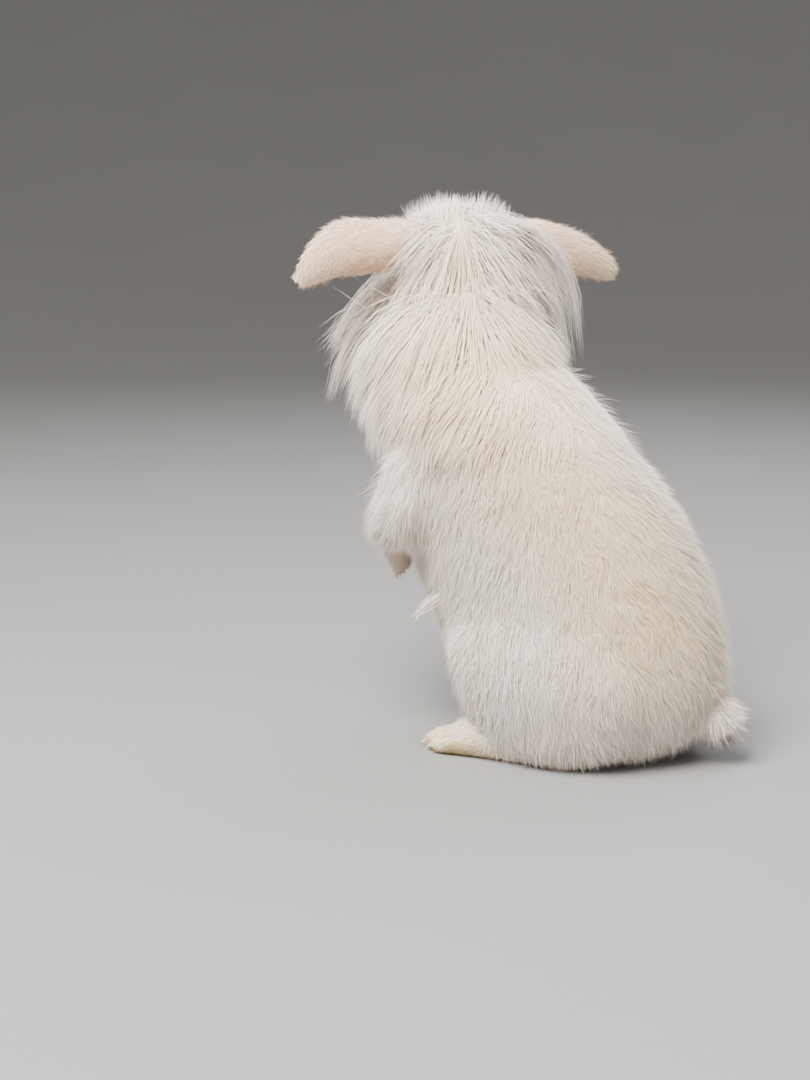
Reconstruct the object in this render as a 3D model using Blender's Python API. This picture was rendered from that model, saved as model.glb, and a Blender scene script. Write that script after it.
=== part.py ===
"""A lionhead rabbit sitting up on its haunches, at life size, as a still display model.

The hips face -Y, the rabbit's left side is +X, and it sits on the floor at Z = 0. The chest, neck and
head turn towards its right as they rise. Sizes are in millimetres in the tables, and mm() makes metres
of them. The plain surfaces stand for the outside of the short coat. The long coat of the mane, the
crown, the cheeks, the chest, the belly and the tail is built as flat locks that reach to the tips.
"""

import math
import random
from collections import namedtuple

import bmesh
import bpy
from mathutils import Matrix, Vector
from mathutils.bvhtree import BVHTree

MM = 0.001
GAP = 0.3  # between touching pieces
LEFT, RIGHT = 1, -1
SEED = 7

# The body from the seat to the nape. x, y, z is a ring's middle; wide, front and back are how far the coat
# stands from it; turn is how far the body faces to its own right there, in degrees.
BodyRing = namedtuple("BodyRing", "x y z wide front back turn")
BODY = (
    BodyRing(0, 4, 0, 30, 34, 36, 0),
    BodyRing(0, 3, 9, 46, 52, 54, 0),
    BodyRing(0, 1, 27, 55, 61, 68, 0),
    BodyRing(0, -2, 48, 58, 69, 73, 2),
    BodyRing(0, -8, 70, 59, 75, 73, 5),
    BodyRing(0, -18, 92, 58, 77, 72, 9),
    BodyRing(-1, -32, 114, 57, 77, 69, 14),
    BodyRing(-2, -47, 136, 56, 77, 65, 20),
    BodyRing(-3, -60, 156, 54, 74, 59, 26),
    BodyRing(-4, -70, 174, 50, 68, 52, 31),
    BodyRing(-6, -76, 192, 46, 60, 45, 36),
    BodyRing(-8, -81, 210, 42, 50, 39, 40),
    BodyRing(-11, -85, 228, 35, 39, 32, 42),
)
BODY_SIDES = 24
BODY_STEPS = 2  # rings between two rows of the table
NECK_FROM = 18  # the ring where the neck begins, counted in steps

# The head, from the back of the skull (0) to the nose. ahead is the distance along it, lift is how far the
# ring's middle stands above the line of the head.
HeadRing = namedtuple("HeadRing", "ahead lift wide top bottom")
HEAD = (
    HeadRing(0.0, 2, 5, 5, 5),
    HeadRing(2.5, 2, 14.5, 14.5, 13.5),
    HeadRing(9, 2, 23, 22, 22),
    HeadRing(18, 1.5, 27.5, 26, 27),
    HeadRing(29, 0, 29.5, 27.5, 29),
    HeadRing(40, -2, 28.5, 26.5, 28),
    HeadRing(50, -4.5, 24.5, 24, 26),
    HeadRing(58, -7.5, 20, 21, 22.5),
    HeadRing(65, -10, 16.5, 17.5, 18),
    HeadRing(71, -11.5, 13.5, 13.5, 14),
    HeadRing(75.5, -12, 9.5, 9, 9.5),
    HeadRing(77.5, -12, 4, 4, 4),
)
HEAD_SIDES = 24
HEAD_AT = (2, -66, 252)  # the back of the skull
HEAD_TURN = 42  # to its right, in degrees
HEAD_NOD = 12  # the nose is lower than the nape, in degrees

# Rounded forms of the face, joined to the head: out, ahead and up of the middle, then the half sizes in the
# same order.
# The first two stand on both sides.
Form = namedtuple("Form", "out ahead up half_out half_ahead half_up")
CHEEK = Form(15, 42, -13, 14, 17, 14)
WHISKER_PAD = Form(6.2, 70.5, -13.5, 7.6, 9.5, 7.2)
NOSE = Form(0, 76.5, -6.5, 5.0, 4.2, 4.2)
CHIN = Form(0, 66, -24, 8.2, 9.5, 6.2)

NOSTRIL = Form(2.9, 80.2, -6.4, 0.8, 1.6, 2.1)
NOSTRIL_LEAN = 35  # the slit's upper end leans out, in degrees
MOUTH = ((0, 84, -10.5), (0, 84, -14), (0, 82, -18.2), (5, 80, -19.8), (9.5, 74, -20.6), (13, 66, -19.5))
MOUTH_RADIUS = 0.75

EYE_RADIUS = 8.2
EYE_AT = (20.5, 43.0, 3.0)  # out, ahead and up in the head
EYE_LOOK = (0.94, 0.28, 0.16)  # the same way
LID_CORNER = 50  # degrees from the middle of the eye to a corner
LID_RISE = {1: 36, -1: 32}  # degrees from the middle to the upper and the lower lid
LID_RADIUS = {1: 1.9, -1: 1.5}

# An ear, from its root in the head to its tip. out, ahead and up are its middle line, wide is the flat width
# of the blade, curl is how far round the blade bends (a whole turn is a tube), thick is its thickness.
EarRing = namedtuple("EarRing", "out ahead up wide curl thick lean")
EARS = {
    LEFT: (
        EarRing(13, 16, 11, 25, 290, 3.4, 10),
        EarRing(25, 15, 10.5, 28, 230, 3.4, 6),
        EarRing(38, 14, 9.5, 32, 150, 3.2, 4),
        EarRing(52, 14, 7.6, 32.5, 105, 3.0, 2),
        EarRing(66, 14, 6.8, 33.5, 86, 2.8, -1),
        EarRing(78, 14.5, 1.8, 26, 75, 2.5, -5),
        EarRing(87, 15.5, -5.4, 17.5, 65, 2.2, -9),
        EarRing(93.5, 17, -11.5, 8, 58, 1.8, -12),
    ),
    RIGHT: (
        EarRing(13, 16, 11, 25, 290, 3.4, 10),
        EarRing(25, 15, 10.5, 28, 230, 3.4, 6),
        EarRing(38, 14, 10.5, 31, 150, 3.2, 4),
        EarRing(52, 14, 8.3, 28.5, 105, 3.0, 2),
        EarRing(66, 14, 5.0, 27, 86, 2.8, -1),
        EarRing(78, 14.5, 1.5, 21, 75, 2.5, -5),
        EarRing(88, 15.5, -2.3, 15.5, 65, 2.2, -9),
        EarRing(94, 17, -6, 9, 58, 1.8, -12),
    ),
}
EAR_ACROSS = 7  # points across each face of the blade
EAR_STEPS = 2
EAR_SWEEP = {LEFT: 0, RIGHT: -9}  # degrees that each ear is swept back

THIGH_AT, THIGH_HALF = (37, -8, 48), (29, 56, 47)
THIGH_LEAN = 10  # the knee is higher than the rump, in degrees

# A hind foot, from the heel to the toes.
FootRing = namedtuple("FootRing", "ahead wide high")
HIND_FOOT = (
    FootRing(0, 5, 10),
    FootRing(4, 9, 15),
    FootRing(14, 11, 18),
    FootRing(30, 11.5, 20),
    FootRing(46, 12.5, 20),
    FootRing(60, 13.5, 18),
    FootRing(70, 12.5, 14),
    FootRing(77, 9, 9),
)
HIND_HEEL = (36, 13)  # out and back
HIND_SPLAY = 4  # the toes point a little outwards, in degrees
HIND_TOES = (-9.6, -3.4, 3.4, 9.6)
HIND_TOE_REACH = (80, 86, 86.5, 81)
HIND_TOE_RADIUS = 4.6

# A foreleg from the shoulder to the wrist: out, ahead of the chest's middle line, height and coat radius.
ForelegRing = namedtuple("ForelegRing", "out ahead high radius")
FORELEG = (
    ForelegRing(45, 26, 155, 15.5),
    ForelegRing(50, 30, 139, 18),
    ForelegRing(52, 34, 122, 17),
    ForelegRing(46, 47, 113, 13.5),
    ForelegRing(36, 58, 110, 10.5),
    ForelegRing(29, 64, 106, 9.5),
    ForelegRing(26.5, 65.5, 100, 9),
)
FORELEG_TURN = 17  # the chest faces this far to its right, in degrees
CHEST_AT = (-2, -42)  # where the forelegs are measured from
FOREPAW_LENGTH = 23.0
FOREPAW_TOES = (-5.4, -1.8, 1.8, 5.4)

TailRing = namedtuple("TailRing", "y z radius")
TAIL = (
    TailRing(50, 32, 13),
    TailRing(61, 29, 13.5),
    TailRing(69, 25, 11.5),
    TailRing(74.5, 21, 8),
    TailRing(77, 18, 4),
)

# A lock is flat and tapered. Each pair is the share of its full width and thickness, from the root on.
LOCK_TAPER = ((0.55, 0.9), (0.9, 1.0), (1.0, 0.85), (0.9, 0.7), (0.62, 0.55), (0.15, 0.3))
SHORT_TAPER = ((0.6, 0.9), (1.0, 1.0), (1.0, 0.8), (0.65, 0.6), (0.15, 0.3))
SHORT_LOCK = 34  # the longest lock that has the short taper
LOCK_SUNK = 4.5  # how deep a root lies under the surface
LOCK_REST = 0.6  # how far its middle sheet stands over the form it grows from, in its own thickness
LOCK_DEEPEST = 8.0  # a path farther than this from a surface is left as it is
LOCK_CLEAR = 1.0  # the room kept between a lock's middle sheet and its neighbours, on top of its thickness
LOCK_TRIES = ((0, 1.0), (1.2, 1.0), (2.4, 0.9), (3.6, 0.75))  # more room, and the share of the length

# A row of locks around a form. level is the ring that the roots are on, first and last are the angles of
# the row in degrees from the front (or from the top, on the head), lift is how steeply they rise, fall is how
# soon they bend down, and part is how far they turn away from the parting at the nape.
LockRow = namedtuple("LockRow", "level first last count length wide thick lift fall part")
MANE = (
    LockRow(19.5, -66, 66, 8, 56, 16, 3.4, 0.55, 0.42, 0.0),
    LockRow(19.6, 82, 278, 11, 50, 16, 3.2, 0.5, 0.42, 0.3),
    LockRow(20.7, 0, 336, 15, 52, 16, 3.2, 0.7, 0.4, 0.4),
    LockRow(21.7, 12, 348, 14, 54, 15, 3.2, 0.85, 0.36, 0.65),
    LockRow(22.6, 24, 360, 12, 50, 13, 3.0, 0.9, 0.36, 0.8),
    LockRow(23.3, 60, 300, 7, 40, 12, 3.0, 0.8, 0.4, 0.8),
)
CHEST_LOCKS = (
    LockRow(15.6, -52, 52, 6, 46, 17, 3.2, 0.25, 0.5, 0.0),
    LockRow(13.4, -34, 34, 4, 44, 16, 3.2, 0.25, 0.5, 0.0),
    LockRow(11.0, -24, 24, 3, 38, 15, 3.2, 0.25, 0.5, 0.0),
    LockRow(8.4, -30, 30, 4, 30, 13, 3.0, 0.3, 0.5, 0.0),
)
HEAD_LOCKS = (
    LockRow(0.5, 30, 330, 5, 28, 13, 2.8, 0.4, 0.45, 0.6),
    LockRow(1.3, -72, 72, 6, 30, 13, 2.8, 0.5, 0.42, 0.6),
    LockRow(1.5, 100, 260, 6, 30, 14, 2.8, 0.4, 0.45, 0.8),
    LockRow(2.3, -46, 46, 5, 28, 12, 2.8, 0.65, 0.4, 0.6),
    LockRow(3.1, -24, 24, 4, 28, 11, 2.8, 0.7, 0.38, 0.5),
    LockRow(3.8, -20, 20, 3, 26, 10, 2.8, 0.7, 0.34, 0.4),
    LockRow(4.3, 106, 150, 3, 26, 11, 2.8, 0.6, 0.45, 0.5),
    LockRow(4.3, 210, 254, 3, 26, 11, 2.8, 0.6, 0.45, 0.5),
    LockRow(2.8, 100, 260, 6, 28, 12, 2.8, 0.7, 0.45, 0.6),
)
FORELOCK = (LockRow(4.4, -24, 24, 4, 24, 8, 2.6, 0.6, 0.4, 0.0),)
TAIL_LOCKS = (
    LockRow(2.6, 0, 288, 5, 15, 10, 2.8, 0.2, 0.1, 0.0),
    LockRow(4.4, 36, 324, 5, 10, 8, 2.4, 0.15, 0.1, 0.0),
)

# Long locks that fall free behind the ears. Each point is across the view from behind, towards it, and up.
LongLock = namedtuple("LongLock", "points wide thick")
LONG_LOCKS = (
    LongLock(
        (
            (-46, -50, 256), (-37, -36, 264), (-26, -33, 260),
            (-15, -36, 247), (-8, -40, 227), (-5, -43, 204),
        ),
        9, 2.8,
    ),
    LongLock(
        (
            (-48, -48, 252), (-40, -34, 254), (-30, -32, 247),
            (-21, -35, 232), (-15, -38, 214), (-12, -41, 196),
        ),
        10, 2.8,
    ),
    LongLock(
        (
            (-54, -44, 246), (-45, -30, 244), (-37, -28, 234),
            (-31, -31, 218), (-27, -35, 200), (-25, -39, 184),
        ),
        11, 2.8,
    ),
    LongLock(
        (
            (-88, -56, 243), (-99, -47, 242), (-110, -45, 236),
            (-120, -46, 227), (-129, -48, 216), (-136, -51, 203),
        ),
        10, 2.8,
    ),
    LongLock(
        (
            (-86, -52, 239), (-97, -41, 238), (-110, -38, 229),
            (-121, -41, 215), (-130, -45, 198), (-136, -49, 180),
        ),
        12, 2.8,
    ),
)
BEHIND = 118  # where the view from behind stands, in degrees round from -Y towards +X

WHITE_COAT = (0.86, 0.83, 0.77)
FOOT_COAT = (0.85, 0.76, 0.58)
EAR_COAT = (0.87, 0.74, 0.66)
EYE_BLUE = (0.10, 0.12, 0.16)


def mm(x, y, z):
    """A point or a direction in metres."""
    return Vector((x, y, z)) * MM


def clear_scene():
    for thing in list(bpy.data.objects):
        bpy.data.objects.remove(thing)


def material(name, colour, roughness):
    finish = bpy.data.materials.new(name)
    finish.use_nodes = True
    shader = finish.node_tree.nodes["Principled BSDF"]
    shader.inputs["Base Color"].default_value = (*colour, 1.0)
    shader.inputs["Roughness"].default_value = roughness
    shader.inputs["Metallic"].default_value = 0.0
    finish.diffuse_color = (*colour, 1.0)
    return finish


def eased(rows, steps):
    """The rows of a table with more between them, on a smooth curve through each column."""
    out = []
    last = len(rows) - 1
    for i in range(last):
        before, here, there, after = rows[max(i - 1, 0)], rows[i], rows[i + 1], rows[min(i + 2, last)]
        for k in range(steps):
            t = k / steps
            columns = zip(before, here, there, after)
            out.append(type(here)(*(curve_between(p, a, b, n, t) for p, a, b, n in columns)))
    out.append(rows[last])
    return out


def curve_between(p, a, b, n, t):
    """A Catmull-Rom curve from a (t = 0) to b (t = 1), where p comes before and n after."""
    return 0.5 * (2 * a + (b - p) * t + (2 * p - 5 * a + 4 * b - n) * t**2 + (3 * a - p - 3 * b + n) * t**3)


def directions(points, ahead):
    """For each point of a path: (along it, to its left, its front). ahead says where the front faces."""
    frames = []
    for i, point in enumerate(points):
        along = (points[min(i + 1, len(points) - 1)] - points[max(i - 1, 0)]).normalized()
        left = along.cross(ahead[i]).normalized()
        frames.append((along, left, left.cross(along)))
    return frames


def oval(centre, left, front, wide, fore, aft, sides):
    """A ring that reaches wide to each side, fore to the front and aft to the back."""
    ring = []
    for k in range(sides):
        angle = 2 * math.pi * k / sides
        reach = fore if math.cos(angle) > 0 else aft
        ring.append(centre + left * (wide * math.sin(angle)) + front * (reach * math.cos(angle)))
    return ring


def loft(rings):
    """A closed mesh through rings of equal length: the first ring's edges are extruded to each next one."""
    made = bmesh.new()
    row = bmesh.ops.create_circle(made, segments=len(rings[0]), radius=1.0)["verts"]
    for vert, place in zip(row, rings[0]):
        vert.co = place
    edges = list(made.edges)
    bmesh.ops.contextual_create(made, geom=edges)
    for ring in rings[1:]:
        grown = bmesh.ops.extrude_edge_only(made, edges=edges)["geom"]
        edges = [item for item in grown if isinstance(item, bmesh.types.BMEdge)]
        raised = {}
        for vert in (item for item in grown if isinstance(item, bmesh.types.BMVert)):
            below = next(e.other_vert(vert) for e in vert.link_edges if e.other_vert(vert) in row)
            raised[below] = vert
        row = [raised[below] for below in row]
        for vert, place in zip(row, ring):
            vert.co = place
    bmesh.ops.contextual_create(made, geom=edges)
    bmesh.ops.recalc_face_normals(made, faces=made.faces)
    if made.calc_volume(signed=True) < 0:
        bmesh.ops.reverse_faces(made, faces=made.faces)
    return made


def node(name, made, finish, smooth=True):
    """An object of that name, from a bmesh in metres."""
    mesh = bpy.data.meshes.new(name)
    bmesh.ops.triangulate(made, faces=made.faces)
    made.to_mesh(mesh)
    made.free()
    if finish is not None:
        mesh.materials.append(finish)
    if smooth:
        mesh.shade_smooth()
    thing = bpy.data.objects.new(name, mesh)
    bpy.context.scene.collection.objects.link(thing)
    return thing


def grown(thing, by=GAP):
    """A cutter: the thing with every face moved out by that many millimetres."""
    made = bmesh.new()
    made.from_mesh(thing.data)
    made.normal_update()
    moves = [vert.normal * by * MM * min(vert.calc_shell_factor(), 2.0) for vert in made.verts]
    for vert, move in zip(made.verts, moves):
        vert.co += move
    return node(thing.name + "_grown", made, None)


def boolean(thing, others, operation, solver="EXACT"):
    """Joins other objects to the thing, or cuts them out of it, and applies that."""
    group = bpy.data.collections.new("tools")
    bpy.context.scene.collection.children.link(group)
    for other in others:
        for home in list(other.users_collection):
            home.objects.unlink(other)
        group.objects.link(other)
    modifier = thing.modifiers.new("join", "BOOLEAN")
    modifier.operation = operation
    modifier.solver = solver
    modifier.operand_type = "COLLECTION"
    modifier.collection = group
    graph = bpy.context.evaluated_depsgraph_get()
    mesh = bpy.data.meshes.new_from_object(thing.evaluated_get(graph), depsgraph=graph)
    thing.modifiers.clear()
    thing.data = mesh
    for other in others:
        bpy.data.objects.remove(other)
    bpy.data.collections.remove(group)
    keep_largest(thing)


def keep_largest(thing):
    """Drops all but the largest closed surface."""
    made = bmesh.new()
    made.from_mesh(thing.data)
    bmesh.ops.triangulate(made, faces=made.faces)
    waiting = set(made.faces)
    surfaces = []
    while waiting:
        front = [waiting.pop()]
        surface = list(front)
        while front:
            face = front.pop()
            for near in (f for edge in face.edges for f in edge.link_faces if f in waiting):
                waiting.remove(near)
                front.append(near)
                surface.append(near)
        surfaces.append(surface)
    surfaces.sort(key=lambda faces: sum(face.calc_area() for face in faces))
    bmesh.ops.delete(made, geom=[face for faces in surfaces[:-1] for face in faces], context="FACES")
    made.to_mesh(thing.data)
    made.free()


def on_floor(ring):
    """The ring with nothing below the floor."""
    return [Vector((p.x, p.y, max(p.z, 0.0))) for p in ring]


def body_rings():
    rows = eased(BODY, BODY_STEPS)
    middles = [mm(row.x, row.y, row.z) for row in rows]
    ahead = [Matrix.Rotation(math.radians(-row.turn), 3, "Z") @ Vector((0, -1, 0)) for row in rows]
    frames = directions(middles, ahead)
    frames[0] = (Vector((0, 0, 1)), Vector((1, 0, 0)), Vector((0, -1, 0)))
    rings = []
    for row, middle, (_, left, front) in zip(rows, middles, frames):
        rings.append(oval(middle, left, front, row.wide * MM, row.front * MM, row.back * MM, BODY_SIDES))
    return rings, middles, frames


def build_torso_and_neck(coat):
    """The torso up to a flat face, the neck from a flat face a gap above it, and the rings of both."""
    rings, _, frames = body_rings()
    rings[0] = [Vector((p.x, p.y, 0.0)) for p in rings[0]]
    torso = node("torso", loft([on_floor(ring) for ring in rings[: NECK_FROM + 1]]), coat)
    lift = frames[NECK_FROM][0] * GAP * MM
    upper = [[p + lift for p in rings[NECK_FROM]]] + rings[NECK_FROM + 1 :]
    neck = node("neck", loft(upper), coat)
    return torso, neck, rings


def head_place():
    """The matrix that puts the head's own frame (left, back, up) in its place."""
    turn = Matrix.Rotation(math.radians(-HEAD_TURN), 4, "Z")
    nod = Matrix.Rotation(math.radians(HEAD_NOD), 4, "X")
    return Matrix.Translation(mm(*HEAD_AT)) @ turn @ nod


def in_head(out, ahead, up):
    """A place given from the back of the skull."""
    return head_place() @ mm(out, -ahead, up)


def build_head(coat):
    place = head_place().to_3x3()
    left, up = place @ Vector((1, 0, 0)), place @ Vector((0, 0, 1))
    rings = []
    for row in eased(HEAD, 1):
        middle = in_head(0, row.ahead, row.lift)
        rings.append(oval(middle, left, up, row.wide * MM, row.top * MM, row.bottom * MM, HEAD_SIDES))
    return node("head", loft(rings), coat), rings


def ellipsoid(form, side=1, lean=0.0, segments=10, rings=7):
    """One of the face's forms, in its place on the head."""
    made = bmesh.new()
    bmesh.ops.create_uvsphere(made, u_segments=segments, v_segments=rings, radius=1.0)
    bmesh.ops.scale(made, vec=mm(form.half_out, form.half_ahead, form.half_up), verts=made.verts)
    bmesh.ops.rotate(made, matrix=Matrix.Rotation(math.radians(side * lean), 3, "Y"), verts=made.verts)
    place = head_place() @ Matrix.Translation(mm(side * form.out, -form.ahead, form.up))
    bmesh.ops.transform(made, matrix=place, verts=made.verts)
    return node("form", made, None)


def tube(points, reaches, ahead, sides=6):
    """A round tube through the points, as thick at each as its reach."""
    rings = []
    for point, reach, (_, left, front) in zip(points, reaches, directions(points, [ahead] * len(points))):
        rings.append(oval(point, left, front, reach, reach, reach, sides))
    return node("tube", loft(rings), None)


def eye_directions(side):
    """The eye's middle, where it looks, and its own forward and up."""
    turned = head_place().to_3x3()
    out, ahead, up = EYE_LOOK
    look = (turned @ Vector((side * out, -ahead, up))).normalized()
    up = turned @ Vector((0, 0, 1))
    forward = look.cross(up).normalized() * side
    rise = look.cross(forward).normalized() * -side
    return in_head(side * EYE_AT[0], EYE_AT[1], EYE_AT[2]), look, forward, rise


def build_lids(side):
    """The rims of an eye: a curved tube above and one below, which meet in the corners."""
    middle, look, forward, up = eye_directions(side)
    lids = []
    for above in (1, -1):
        points = []
        reaches = []
        for k in range(9):
            share = math.cos(math.pi * k / 8)
            across = math.sin(math.radians(LID_CORNER)) * share
            rise = math.sin(math.radians(LID_RISE[above])) * math.sqrt(max(1 - share * share, 0)) * above
            out = math.sqrt(1 - across * across - rise * rise)
            points.append(middle + (forward * across + up * rise + look * out) * (EYE_RADIUS + 0.4) * MM)
            reaches.append(LID_RADIUS[above] * MM * (0.55 + 0.45 * math.sqrt(max(1 - share * share, 0))))
        lids.append(tube(points, reaches, look))
    return lids


def build_mouth(head):
    """A thin line to cut into the head: down from the nose, then back along both sides."""
    skin = BVHTree.FromObject(head, bpy.context.evaluated_depsgraph_get())
    cutters = []
    for side in (LEFT, RIGHT):
        points = []
        for out, ahead, up in MOUTH:
            points.append(skin.find_nearest(in_head(side * out, ahead, up))[0])
        back = head_place().to_3x3() @ Vector((0, 1, 0.3))
        cutters.append(tube(points, [MOUTH_RADIUS * MM] * len(points), back))
    return cutters


def build_eye(side, finish):
    made = bmesh.new()
    bmesh.ops.create_uvsphere(made, u_segments=12, v_segments=8, radius=EYE_RADIUS * MM)
    out, ahead, up = EYE_AT
    bmesh.ops.translate(made, vec=in_head(side * out, ahead, up), verts=made.verts)
    return node("eye_left" if side == LEFT else "eye_right", made, finish)


def ear_ring(row, along, across, outward):
    """A curled strip: the outer face from edge to edge, then the inner face back again."""
    curl = math.radians(row.curl)
    radius = row.wide / curl
    chord = math.cos(min(curl / 2, math.pi / 2))
    ring = []
    for sign in (1, -1):
        for k in range(EAR_ACROSS):
            share = (2 * k / (EAR_ACROSS - 1) - 1) * sign
            half = row.thick / 2 * (1 - 0.45 * share * share)
            angle = share * curl / 2
            r = radius + sign * half
            rise = math.cos(angle) * r - radius * chord
            ring.append(along + (across * math.sin(angle) * r + outward * rise) * MM)
    return ring


def build_ear(side, finish):
    """An ear that grows out of the side of the crown. Its hollow faces forward and down."""
    rows = eased(EARS[side], EAR_STEPS)
    sweep = Matrix.Rotation(math.radians(side * EAR_SWEEP[side]), 3, "Z")
    turned = head_place().to_3x3()
    pivot = Vector((side * rows[0].out, -rows[0].ahead, rows[0].up))
    line = []
    for row in rows:
        local = Vector((side * row.out, -row.ahead, row.up))
        line.append(head_place() @ ((pivot + sweep @ (local - pivot)) * MM))
    rings = []
    for i, row in enumerate(rows):
        along = (line[min(i + 1, len(line) - 1)] - line[max(i - 1, 0)]).normalized()
        behind = turned @ (Matrix.Rotation(math.radians(row.lean), 3, "X") @ Vector((0, 1, 0)))
        across = along.cross(behind).normalized()
        if across.z < 0:
            across = -across
        outward = across.cross(along).normalized()
        if outward.dot(behind) < 0:
            outward = -outward
        rings.append(ear_ring(row, line[i], across, outward))
    return node("ear_left" if side == LEFT else "ear_right", loft(rings), finish)


def build_thigh(side, coat):
    made = bmesh.new()
    bmesh.ops.create_uvsphere(made, u_segments=18, v_segments=12, radius=1.0)
    bmesh.ops.scale(made, vec=mm(*THIGH_HALF), verts=made.verts)
    lean = Matrix.Rotation(math.radians(-THIGH_LEAN), 3, "X")
    bmesh.ops.rotate(made, matrix=lean, verts=made.verts)
    out, back, up = THIGH_AT
    bmesh.ops.translate(made, vec=mm(side * out, back, up), verts=made.verts)
    for vert in made.verts:
        vert.co.z = max(vert.co.z, 0.0)
    bmesh.ops.remove_doubles(made, verts=made.verts, dist=0.05 * MM)
    bmesh.ops.recalc_face_normals(made, faces=made.faces)
    return node("thigh_left" if side == LEFT else "thigh_right", made, coat)


def capsule(start, end, radius, end_radius, sides=6):
    """A rounded finger from start to end, as a closed mesh."""
    along = (end - start).normalized()
    left = along.cross(Vector((0, 0, 1)) if abs(along.z) < 0.9 else Vector((0, 1, 0))).normalized()
    front = left.cross(along)
    rings = []
    for back in (0.35, 0.85):
        reach = radius * back
        middle = start - along * math.sqrt(max(radius**2 - reach**2, 0.0))
        rings.append(oval(middle, left, front, reach, reach, reach, sides))
    rings.append(oval(start, left, front, radius, radius, radius, sides))
    rings.append(oval(end, left, front, end_radius, end_radius, end_radius, sides))
    for back in (0.85, 0.35):
        reach = end_radius * back
        middle = end + along * math.sqrt(max(end_radius**2 - reach**2, 0.0))
        rings.append(oval(middle, left, front, reach, reach, reach, sides))
    return loft(rings)


def claw(start, along, down, length, radius):
    """A curved claw with a blunt point, its root at start."""
    rings = []
    left = along.cross(down).normalized()
    for k in range(4):
        share = k / 3
        middle = start + along * (length * share) + down * (length * 0.35 * share * share)
        reach = radius * (1 - 0.86 * share)
        heading = (along + down * 0.7 * share).normalized()
        rings.append(oval(middle, left, left.cross(heading), reach, reach * 1.2, reach * 1.2, 5))
    return loft(rings)


def build_hind_foot(side, coat):
    """A long flat foot on its whole sole, with four toes and their claws."""
    heel_out, heel_back = HIND_HEEL
    turn = Matrix.Rotation(math.radians(side * HIND_SPLAY), 3, "Z")
    heel = mm(side * heel_out, heel_back, 0)
    ahead, left, up = turn @ Vector((0, -1, 0)), turn @ Vector((1, 0, 0)), Vector((0, 0, 1))
    rings = []
    for row in HIND_FOOT:
        middle = heel + ahead * row.ahead * MM + up * row.high * 0.42 * MM
        wide, top, bottom = row.wide * MM, row.high * 0.58 * MM, row.high * 0.55 * MM
        rings.append(on_floor(oval(middle, left, up, wide, top, bottom, 14)))
    foot = node("hind_foot_left" if side == LEFT else "hind_foot_right", loft(rings), coat)
    pieces = []
    for place, reach in zip(HIND_TOES, HIND_TOE_REACH):
        radius = HIND_TOE_RADIUS * MM
        start = heel + ahead * 58 * MM + left * place * 0.8 * MM + up * 8 * MM
        end = heel + ahead * (reach - HIND_TOE_RADIUS) * MM + left * place * MM + up * 4.6 * MM
        pieces.append(node("toe", capsule(start, end, radius * 1.15, radius), None))
        tip = end + ahead * radius * 0.3 - up * 0.5 * MM
        pieces.append(node("claw", claw(tip, ahead, -up, 7.5 * MM, 1.5 * MM), None))
    boolean(foot, pieces, "UNION")
    flatten_sole(foot)
    return foot


def flatten_sole(foot):
    for vert in foot.data.vertices:
        vert.co.z = max(vert.co.z, 0.0)


def foreleg_places(side):
    """The middle line of a foreleg, from the shoulder to the wrist."""
    turn = Matrix.Rotation(math.radians(-FORELEG_TURN), 3, "Z")
    middle = Vector((*CHEST_AT, 0))
    rows = eased(FORELEG, 2)
    return rows, [(middle + turn @ Vector((side * r.out, -r.ahead, r.high))) * MM for r in rows]


def build_foreleg(side, coat):
    rows, line = foreleg_places(side)
    frames = directions(line, [Vector((0, -1, 0))] * len(line))
    rings = []
    for row, middle, (_, left, front) in zip(rows, line, frames):
        reach = row.radius * MM
        rings.append(oval(middle, left, front, reach, reach, reach, 12))
    return node("foreleg_left" if side == LEFT else "foreleg_right", loft(rings), coat)


def build_forepaw(side, coat):
    """A small hanging paw, with four toes and their claws, a gap below the wrist."""
    rows, line = foreleg_places(side)
    frames = directions(line, [Vector((0, -1, 0))] * len(line))
    along, left, front = frames[-1]
    start = line[-1] + along * GAP * MM
    length = FOREPAW_LENGTH * MM
    radius = rows[-1].radius * MM
    rings = []
    for share, size in ((0, 1.0), (0.25, 0.86), (0.5, 0.86), (0.72, 0.8), (0.86, 0.55), (0.93, 0.2)):
        middle = start + along * length * share
        rings.append(oval(middle, left, front, radius * size, radius * size * 0.8, radius * size * 0.8, 14))
    paw = node("forepaw_left" if side == LEFT else "forepaw_right", loft(rings), coat)
    pieces = []
    for place in FOREPAW_TOES:
        toe = start + along * length * 0.55 + left * place * MM
        tip = start + along * length * (0.86 - 0.012 * abs(place)) + left * place * 1.1 * MM
        pieces.append(node("toe", capsule(toe, tip, 3.3 * MM, 2.9 * MM), None))
        pieces.append(node("claw", claw(tip + along * 1.0 * MM, along, front * -1, 6 * MM, 1.1 * MM), None))
    boolean(paw, pieces, "UNION")
    return paw


def build_tail(coat):
    rows = eased(TAIL, 2)
    line = [mm(0, row.y, row.z) for row in rows]
    frames = directions(line, [Vector((0, 0, 1))] * len(line))
    rings = []
    for row, middle, (_, left, front) in zip(rows, line, frames):
        reach = row.radius * MM
        rings.append(on_floor(oval(middle, left, front, reach, reach, reach, 14)))
    return node("tail", loft(rings), coat), rings


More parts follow.
